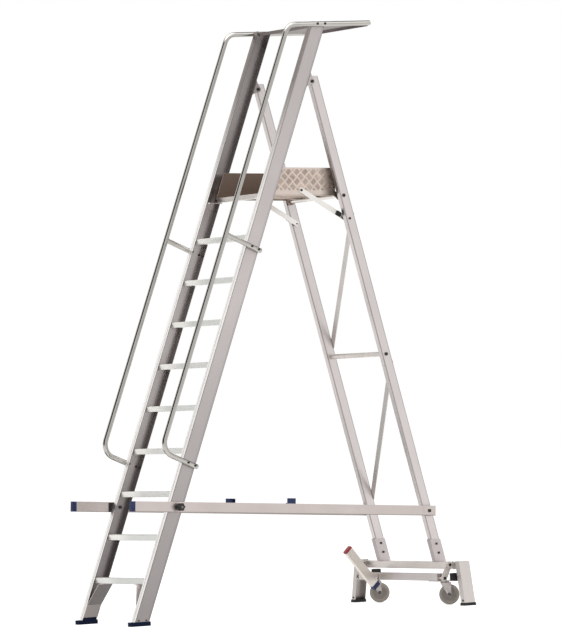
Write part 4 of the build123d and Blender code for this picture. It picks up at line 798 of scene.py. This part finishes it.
def run_on_plate(runs):
    """Start and end of a bar about its middle, cut back to the margins; runs are (place, step, size)."""
    start = -BAR_LENGTH / 2
    end = BAR_LENGTH / 2
    for place, step, size in runs:
        limits = sorted(((PLATE_MARGIN - place) / step, (size - PLATE_MARGIN - place) / step))
        start = max(start, limits[0])
        end = min(end, limits[1])
    return start, end


def tread_pattern(name, corner, u_axis, v_axis, u_size, v_size, slant=0):
    """Groups of five raised bars, turned one way and then the other, on a flat face.

    The face is cut slanting along the stiles at its start if slant is 1, and at its end if slant is -1.
    """
    mesh = bmesh.new()
    u_axis = Vector(u_axis)
    v_axis = Vector(v_axis)
    normal = u_axis.cross(v_axis).normalized()
    for row in range(int(2 * v_size / GROUP_PITCH_V) + 2):
        lean = 1 if row % 2 else -1
        along = (u_axis + lean * v_axis).normalized()
        across = normal.cross(along)
        for column, bar in product(range(int(u_size / GROUP_PITCH_U) + 2), range(BARS_IN_GROUP)):
            shift = (bar - (BARS_IN_GROUP - 1) / 2) * BAR_PITCH
            u = (column + 0.5 * (row % 2)) * GROUP_PITCH_U + shift * across.dot(u_axis)
            v = row * GROUP_PITCH_V / 2 + shift * across.dot(v_axis)
            start, end = run_on_plate(((u, along.dot(u_axis), u_size), (v, along.dot(v_axis), v_size)))
            from_slant = u if slant > 0 else u_size - u
            clear = slant == 0 or from_slant > STILE_LEAN * v + SLANT_ROOM
            if clear and end - start > SHORTEST_BAR:
                centre = Vector(corner) + u_axis * u + v_axis * v + along * (start + end) / 2
                add_plate_bar(mesh, centre, along, across, normal, end - start)
    make_piece(name, mesh, tread_bars, "platform", smooth_angle=20.0)


def make_tread_plate():
    """Raised bars on the outer faces of the toe boards and on the deck."""
    deck_low, deck_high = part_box("platform_deck")
    rear_low, rear_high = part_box("toe_board_rear")
    nosing_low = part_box("platform_nosing")[0]
    for side, sign in SIDES.items():
        low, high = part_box("toe_board_" + side)
        foot = nosing_low.z + TREAD_ABOVE_NOSING
        start = nosing_low.y if sign > 0 else rear_high.y
        tread_pattern("tread_bars_" + side, (outer_face(low, high), start, foot), (0, sign, 0), (0, 0, 1),
                      rear_high.y - nosing_low.y, high.z - foot, slant=sign)
    tread_pattern("tread_bars_rear", (rear_high.x, rear_high.y, rear_low.z), (-1, 0, 0), (0, 0, 1),
                  rear_high.x - rear_low.x, rear_high.z - rear_low.z)
    tread_pattern("tread_bars_deck", (deck_low.x, deck_low.y, deck_high.z), (1, 0, 0), (0, 1, 0),
                  deck_high.x - deck_low.x, rear_low.y - deck_low.y)


def make_wheels():
    """Castor wheels with a crowned tyre, a dished web and a hub."""
    mirrored = [(radius, -run) for radius, run in reversed(WHEEL[:-1])]
    profile = in_metres(WHEEL + mirrored)
    for side in SIDES:
        joint = joints["wheel_spin_" + side]
        mesh = bmesh.new()
        add_lathe(mesh, profile, joint["pos_m"], joint["axis"], segments=72)
        wheel = make_piece("wheel_" + side, mesh, wheel_tyre, "wheel_" + side)
        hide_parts("castor_wheel_" + side)
        hub = bmesh.new()
        for way in (1, -1):
            axis = Vector(joint["axis"]) * way
            add_washer(hub, Vector(joint["pos_m"]) + axis * HUB_FACE, axis, *HUB_DISC)
        make_piece("wheel_hub_" + side, hub, wheel_hub, "wheel_" + side)


def add_knob_head(mesh, centre, axis):
    """Head of a star knob: layers of a wavy outline."""
    rings = []
    for run, size in KNOB_LAYERS:
        ring = []
        for index in range(KNOB_SEGMENTS):
            angle = 2 * pi * index / KNOB_SEGMENTS
            radius = size * (KNOB_MEAN + KNOB_WAVE * cos(KNOB_LOBES * angle))
            across = Vector((0, cos(angle) * radius, sin(angle) * radius))
            ring.append(mesh.verts.new(centre + axis * run * MM + across))
        rings.append(ring)
    for lower, upper in zip(rings, rings[1:]):
        join_rows(mesh, lower, upper)
    mesh.faces.new(rings[0])
    mesh.faces.new(rings[-1])


def make_knobs():
    """Star knobs with rounded lobes on a short neck."""
    for side in SIDES:
        joint = joints["knob_turn_" + side]
        axis = Vector(joint["axis"])
        inner, outer = reach(*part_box("star_knob_" + side))
        head_start = outer - KNOB_HEAD
        neck_end = head_start + NECK_OVERLAP
        centre = Vector((0, joint["pos_m"][1], joint["pos_m"][2]))
        mesh = bmesh.new()
        add_knob_head(mesh, centre + axis * head_start, axis)
        neck = [(NECK_BORE, inner), (NECK_RADIUS - NECK_SOFT, inner), (NECK_RADIUS, inner + NECK_OVERLAP),
                (NECK_RADIUS, neck_end), (NECK_BORE, neck_end)]
        add_lathe(mesh, neck, centre, axis, segments=40)
        knob = make_piece("knob_" + side, mesh, black_plastic, "knob_" + side)
        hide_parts("star_knob_" + side)
        cap = bmesh.new()
        add_dome(cap, centre + axis * outer, axis, *KNOB_CAP)
        make_piece("knob_cap_" + side, cap, grey_plastic, "knob_" + side)


def make_bolt_details():
    """A washer under each bolt head that is not small or low down, and a rounded crown on it."""
    for name, body in (("handrail_bolts", "ladder"), ("frame_bolts", "rear_frame"),
                       ("platform_bolts", "platform"), ("ladder_fasteners", "ladder")):
        washers = bmesh.new()
        crowns = bmesh.new()
        for low, high in islands(name):
            size = high.z - low.z
            middle = (low + high) / 2
            low_down = name == "ladder_fasteners" and middle.z < PLAIN_FASTENERS_BELOW
            if size < SMALL_HEAD or low_down:
                continue
            axis = Vector((side_of(low, high), 0, 0))
            top = Vector((outer_face(low, high), middle.y, middle.z))
            seat = top - axis * (TALL_HEAD if size > WIDE_HEAD else LOW_HEAD)
            add_washer(washers, seat, axis, size * HEAD_CORE, size / 2 + WASHER_RIM, WASHER)
            add_dome(crowns, top, axis, size * HEAD_CORE, HEAD_CROWN)
        make_piece(name + "_washers", washers, zinc, body)
        make_piece(name + "_crowns", crowns, black_bolt, body)


def make_welds():
    """Weld beads on the base, on the castor bar and under the ends of the steps."""
    base = bmesh.new()
    beam_low, beam_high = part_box("stabiliser_beam")
    for low, high in islands("leg_sleeves"):
        for y in (beam_low.y, beam_high.y):
            add_bead(base, (low.x, y, beam_high.z), (high.x, y, beam_high.z), SLEEVE_BEAD)
    for low, high in islands("castor_ears"):
        x = outer_face(low, high)
        add_bead(base, (x, beam_low.y, low.z), (x, beam_low.y, high.z), SMALL_BEAD)
    make_piece("base_welds", base, weld_metal, "rear_frame")

    bar = bmesh.new()
    bar_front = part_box("castor_bar")[0].y
    swivel_x = joints["castor_swivel_right"]["pos_m"][0]
    for sign in (1, -1):
        x0 = sign * swivel_x - CASTOR_PLATE / 2
        for y in (bar_front, bar_front + CASTOR_BAR):
            add_bead(bar, (x0, y, PLATE_TOP), (x0 + CASTOR_PLATE, y, PLATE_TOP), SMALL_BEAD)
    make_piece("castor_bar_welds", bar, weld_metal, "castor_carriage")

    steps = bmesh.new()
    for name in STEPS:
        low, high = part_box(name)
        for x in (low.x, high.x):
            add_bead(steps, (x, low.y + STEP_BEAD_INSET, low.z),
                     (x, high.y - STEP_BEAD_INSET, low.z), STEP_BEAD)
    make_piece("step_welds", steps, weld_metal, "ladder")


def make_foot_details():
    """Ribs round the plastic and rubber feet, and the bolts that hold the rear ones."""
    front = bmesh.new()
    for low, high in islands("front_feet"):
        add_ribs_around(front, low, high, 0.0, FRONT_FOOT_RIBS)
    make_piece("front_foot_ribs", front, navy_foot, "ladder", bevel=FOOT_SOFT)
    rear = bmesh.new()
    bolts = bmesh.new()
    for low, high in islands("rear_feet"):
        add_ribs_around(rear, low, high, 0.0, REAR_FOOT_RIBS)
        place = ((low.x + high.x) / 2, low.y + FOOT_BOLT_INSET, high.z + FOOT_BOLT_RISE)
        add_dome(bolts, place, (0, -1, 0), *FOOT_BOLT)
    make_piece("rear_foot_ribs", rear, black_rubber, "rear_frame", bevel=FOOT_SOFT)
    make_piece("rear_foot_bolts", bolts, black_bolt, "rear_frame")


def make_castor_details():
    """King pin nuts, swivel raceways, axle nuts and washers."""
    nuts = bmesh.new()
    for side in SIDES:
        x, y = joints["castor_swivel_" + side]["pos_m"][:2]
        spin = joints["wheel_spin_" + side]
        add_dome(nuts, (x, y, PLATE_TOP), (0, 0, 1), *KING_NUT)
        fork = bmesh.new()
        add_lathe(fork, in_metres(RACEWAY_RING), (x, y, RACEWAY), (0, 0, 1), segments=40)
        for way in (1, -1):
            axis = Vector(spin["axis"]) * way
            middle = Vector(spin["pos_m"])
            add_lathe(fork, in_metres(AXLE_NUT), middle + axis * AXLE_NUT_FACE, axis, NUT_SIDES)
            add_washer(fork, middle + axis * AXLE_WASHER_FACE, axis, *AXLE_WASHER)
        make_piece("castor_hardware_" + side, fork, dark_zinc, "castor_" + side, NUT_SMOOTH)
    make_piece("king_pin_nuts", nuts, black_bolt, "castor_carriage")


def make_rubber_ribs():
    """Level ribs round the rubber block and upright ones on the rubber end plug."""
    ribs = bmesh.new()
    for low, high in islands("castor_rubbers"):
        if side_of(low, high) > 0:
            add_ribs_around(ribs, low, high, low.z, BLOCK_RIBS)
            continue
        for index in range(PLUG_RIB_COUNT):
            x = low.x + (high.x - low.x) * (index + 0.5) / PLUG_RIB_COUNT
            add_box(ribs, (x - PLUG_RIB / 2, low.y - PLUG_RIB_PROUD, low.z + PLUG_RIB_INSET),
                    (x + PLUG_RIB / 2, high.y + PLUG_RIB_PROUD, high.z - PLUG_RIB_INSET))
    make_piece("rubber_ribs", ribs, black_rubber, "castor_carriage", bevel=RIB_SOFT)


def make_pedal_details():
    """Rims and grip ribs on the two pedal caps."""
    upper_low, upper_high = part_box("pedal_cap_upper")
    lower_low, lower_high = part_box("pedal_cap_lower")
    upper = (upper_low + upper_high) / 2
    lower = (lower_low + lower_high) / 2
    along = (lower - upper).normalized()
    across = Vector((1, 0, 0))
    turn = Matrix((across, across.cross(along), along)).transposed().to_4x4()
    corner = Vector(((upper_high.x - upper_low.x) / 2 + RIM_PROUD, CAP_HALF + RIM_PROUD, RIM_HALF))
    for name, centre, material, slot, places in (
            ("pedal_rim_red", upper, red_plastic, "red_plastic", RED_RIMS),
            ("pedal_rim_blue", lower, blue_plastic, "blue_plastic", BLUE_RIMS)):
        mesh = bmesh.new()
        for run in places:
            add_box(mesh, -corner, corner, Matrix.Translation(centre + along * run) @ turn)
        make_piece(name, mesh, material, "castor_lever", bevel=RIB_SOFT)


def spreader_plate(side, sign, depths, runs, rises):
    """Mesh of a flat plate in the slope of a spreader bar.

    Depths are measured from the middle of the object, runs and rises from the bar's stud.
    """
    stud = joints["spreader_swing_" + side]["pos_m"]
    slope = Matrix.Rotation(radians(-SPREADER_TILT), 4, "X")
    x0, x1 = sorted(sign * depth for depth in depths)
    mesh = bmesh.new()
    add_box(mesh, (x0, runs[0], rises[0]), (x1, runs[1], rises[1]),
            Matrix.Translation((0, stud[1], stud[2])) @ slope)
    return mesh


def make_spreader_plates():
    """Keeper plates under the heads of the spreader pins, which cover the open notches."""
    for side, sign in SIDES.items():
        low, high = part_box("spreader_bar_" + side)
        outer = reach(low, high)[1]
        stud_y = joints["spreader_swing_" + side]["pos_m"][1]
        length = (high.y - stud_y) / cos(radians(SPREADER_TILT))
        mesh = spreader_plate(side, sign, [outer + depth for depth in KEEPER_DEPTHS],
                              (length - KEEPER_LENGTH, length - KEEPER_INSET), (-KEEPER_HALF, KEEPER_HALF))
        make_piece("spreader_keeper_" + side, mesh, spreader_metal, "rear_frame",
                   bevel=KEEPER_SOFT)


def add_link_nuts(mesh, sign, inner, outer, joint_name):
    """Nuts on both ends of a pin of the castor links."""
    y, z = joints[joint_name]["pos_m"][1:]
    axis = Vector((sign, 0, 0))
    add_lathe(mesh, in_metres(LINK_NUT), (sign * outer, y, z), axis, NUT_SIDES)
    add_lathe(mesh, in_metres(LINK_NUT), (sign * inner, y, z), -axis, NUT_SIDES)


def make_link_nuts():
    """Nuts on the pins of the castor links, on both sides of each link."""
    top_nuts = bmesh.new()
    for low, high in islands("castor_ears"):
        add_link_nuts(top_nuts, side_of(low, high), *reach(low, high), "pedal_lift")
    make_piece("link_top_nuts", top_nuts, black_bolt, "rear_frame", NUT_SMOOTH)
    foot_nuts = bmesh.new()
    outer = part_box("castor_links")[1].x
    for sign in (1, -1):
        add_link_nuts(foot_nuts, sign, outer - LINK_THICK, outer, "carriage_level")
    make_piece("link_foot_nuts", foot_nuts, black_bolt, "castor_lever", NUT_SMOOTH)


def make_friction_plates():
    """Black plates between the stiles and the spreader bars, round the clamp studs."""
    for side, sign in SIDES.items():
        inner = reach(*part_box("spreader_bar_" + side))[0]
        mesh = spreader_plate(side, sign, [inner + depth for depth in FRICTION_DEPTHS],
                              FRICTION_RUNS, FRICTION_RISES)
        make_piece("friction_plate_" + side, mesh, black_plastic, "ladder",
                   bevel=FRICTION_SOFT)


def make_toe_board_edges():
    """Rolled edges of the toe boards."""
    boards = bmesh.new()
    rear_low, rear_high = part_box("toe_board_rear")
    nosing_low, nosing_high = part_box("platform_nosing")
    for side in SIDES:
        low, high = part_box("toe_board_" + side)
        x = (low.x + high.x) / 2
        corner = (x, nosing_low.y + STILE_LEAN * (high.z - nosing_high.z), high.z)
        add_rod(boards, corner, (x, rear_high.y, high.z), BOARD_EDGE)
        add_rod(boards, (x, nosing_low.y + BOARD_EDGE_INSET, nosing_high.z), corner, BOARD_EDGE)
    y = rear_high.y - BOARD_EDGE_INSET
    add_rod(boards, (rear_low.x, y, rear_high.z), (rear_high.x, y, rear_high.z), BOARD_EDGE)
    make_piece("toe_board_edges", boards, tread_plate, "platform")


def make_tray_details():
    """Rolled edges of the tray and the rivets that hold it."""
    hems = bmesh.new()
    rivets = bmesh.new()
    low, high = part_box("top_tray")
    half = high.x - TRAY_CORNER
    slope = tan(radians(RAIL_TILT))
    front_y = low.y + TRAY_HEM
    add_rod(hems, (-half, front_y, low.z), (half, front_y, low.z), TRAY_HEM)
    rear_y = high.y - TRAY_REAR_INSET
    rear_z = low.z + slope * (high.y - low.y)
    add_rod(hems, (low.x, rear_y, rear_z), (high.x, rear_y, rear_z), TRAY_HEM)
    for x, share in product((low.x + RIVET_INSET, high.x - RIVET_INSET), RIVET_SHARES):
        y = low.y + (high.y - low.y) * share
        add_dome(rivets, (x, y, high.z - slope * (high.y - y)), (0, -slope, 1), *TRAY_RIVET)
    make_piece("tray_hems", hems, sheet_metal, "ladder")
    make_piece("tray_rivets", rivets, zinc, "ladder")


def make_stile_beads():
    """Fine beads along the outer sides and the fronts of the stiles."""
    beads = bmesh.new()
    lean = Vector((0, STILE_LEAN, 1))
    for side, sign in SIDES.items():
        low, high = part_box("stile_" + side)
        tall = high.z - low.z
        depth = high.y - low.y - STILE_LEAN * tall
        run = lean * (tall - 2 * STILE_BEAD_END)
        starts = [Vector((outer_face(low, high), low.y + depth * share, low.z + STILE_BEAD_END))
                  for share in STILE_BEAD_SHARES]
        front_x = low.x + (high.x - low.x) * (0.5 - FRONT_BEAD_SHIFT * sign)
        starts.append(Vector((front_x, low.y, low.z)) + lean * STILE_BEAD_END)
        for start in starts:
            add_rod(beads, start, start + run, STILE_BEAD, segments=10)
    make_piece("stile_beads", beads, stile_metal, "ladder")


def make_clip_details():
    """Raised pads on the brace clips."""
    for side, sign in SIDES.items():
        low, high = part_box("brace_clip_" + side)
        middle = (low + high) / 2
        mesh = bmesh.new()
        add_dome(mesh, (outer_face(low, high), middle.y, middle.z), (sign, 0, 0), *CLIP_PAD)
        make_piece("brace_clip_pad_" + side, mesh, black_plastic, "brace_" + side)


def make_camera():
    """Camera that sees the object as the photograph does."""
    data = bpy.data.cameras.new("camera")
    data.sensor_fit = "VERTICAL"
    data.sensor_height = SENSOR
    data.lens = FOCAL_PIXELS / IMAGE_HEIGHT * SENSOR
    data.clip_end = VIEW_DEPTH
    camera = new_object("camera", data)
    angles = [radians(angle) for angle in (CAMERA_PITCH, CAMERA_ROLL, CAMERA_YAW)]
    place = (CAMERA_X, joints["rear_fold"]["pos_m"][1] - CAMERA_AHEAD_OF_HINGE, CAMERA_Z)
    camera.matrix_world = Matrix.Translation(place) @ Euler(angles).to_matrix().to_4x4()
    bpy.context.scene.camera = camera


def make_world():
    """White surroundings for what the camera and reflections see, and a softer level for the light."""
    world = bpy.data.worlds.new("studio")
    bpy.context.scene.world = world
    recipe = Recipe(world, "Background")
    recipe.feed(recipe.shader, {"Color": WHITE, "Strength": recipe.by_ray(WORLD_LIGHT, 1.0)})


def flat_object(name, size, material):
    """Square sheet that lies in the middle of the scene."""
    mesh = bmesh.new()
    bmesh.ops.create_grid(mesh, x_segments=1, y_segments=1, size=size / 2)
    return mesh_object(name, mesh, material)


def make_floor():
    """Pale floor that keeps the shadow and meets the white surroundings."""
    recipe = new_recipe("floor", 0.0, specular=0.0)
    glow = recipe.by_ray(0.0, FLOOR_GLOW)
    recipe.feed(recipe.shader, {"Emission Color": WHITE, "Emission Strength": glow})
    floor = flat_object("floor", FLOOR_SIZE, recipe.finish(shade(WHITE, 0.8), 0.9))


def make_lamps():
    """Soft square lamps that look at a point."""
    for name, place, target, size, power in LAMPS:
        data = bpy.data.lights.new(name, "AREA")
        data.shape = "SQUARE"
        data.size = size
        data.energy = power
        lamp = new_object(name, data)
        lamp.location = place
        lamp.rotation_euler = (Vector(target) - Vector(place)).to_track_quat("-Z", "Y").to_euler()


def make_dark_cards():
    """Dark cards that only show as lines in the polished metal."""
    material = new_recipe("dark_card", 0.0, specular=0.0).finish(shade(WHITE, 0.02), 0.5)
    for spot, wide, tall in CARDS:
        card = flat_object("dark_card", 1.0, material)
        place = Vector(spot)
        facing = Vector((0, 0, 1))
        if place.z > LOW_CARD:
            facing = Vector((-place.x, -place.y, 0))
        turn = facing.to_track_quat("Z", "Y").to_matrix().to_4x4()
        card.matrix_world = Matrix.Translation(place) @ turn @ Matrix.Diagonal((wide, tall, 1, 1))
        card.visible_camera = False
        card.visible_diffuse = False
        card.visible_shadow = False


bpy.context.scene.view_settings.view_transform = "Standard"
dress_nodes()
make_tread_plate()
make_wheels()
make_knobs()
make_bolt_details()
make_welds()
make_foot_details()
make_castor_details()
make_rubber_ribs()
make_pedal_details()
make_spreader_plates()
make_link_nuts()
make_friction_plates()
make_toe_board_edges()
make_tray_details()
make_stile_beads()
make_clip_details()
make_camera()
make_world()
make_floor()
make_lamps()
make_dark_cards()
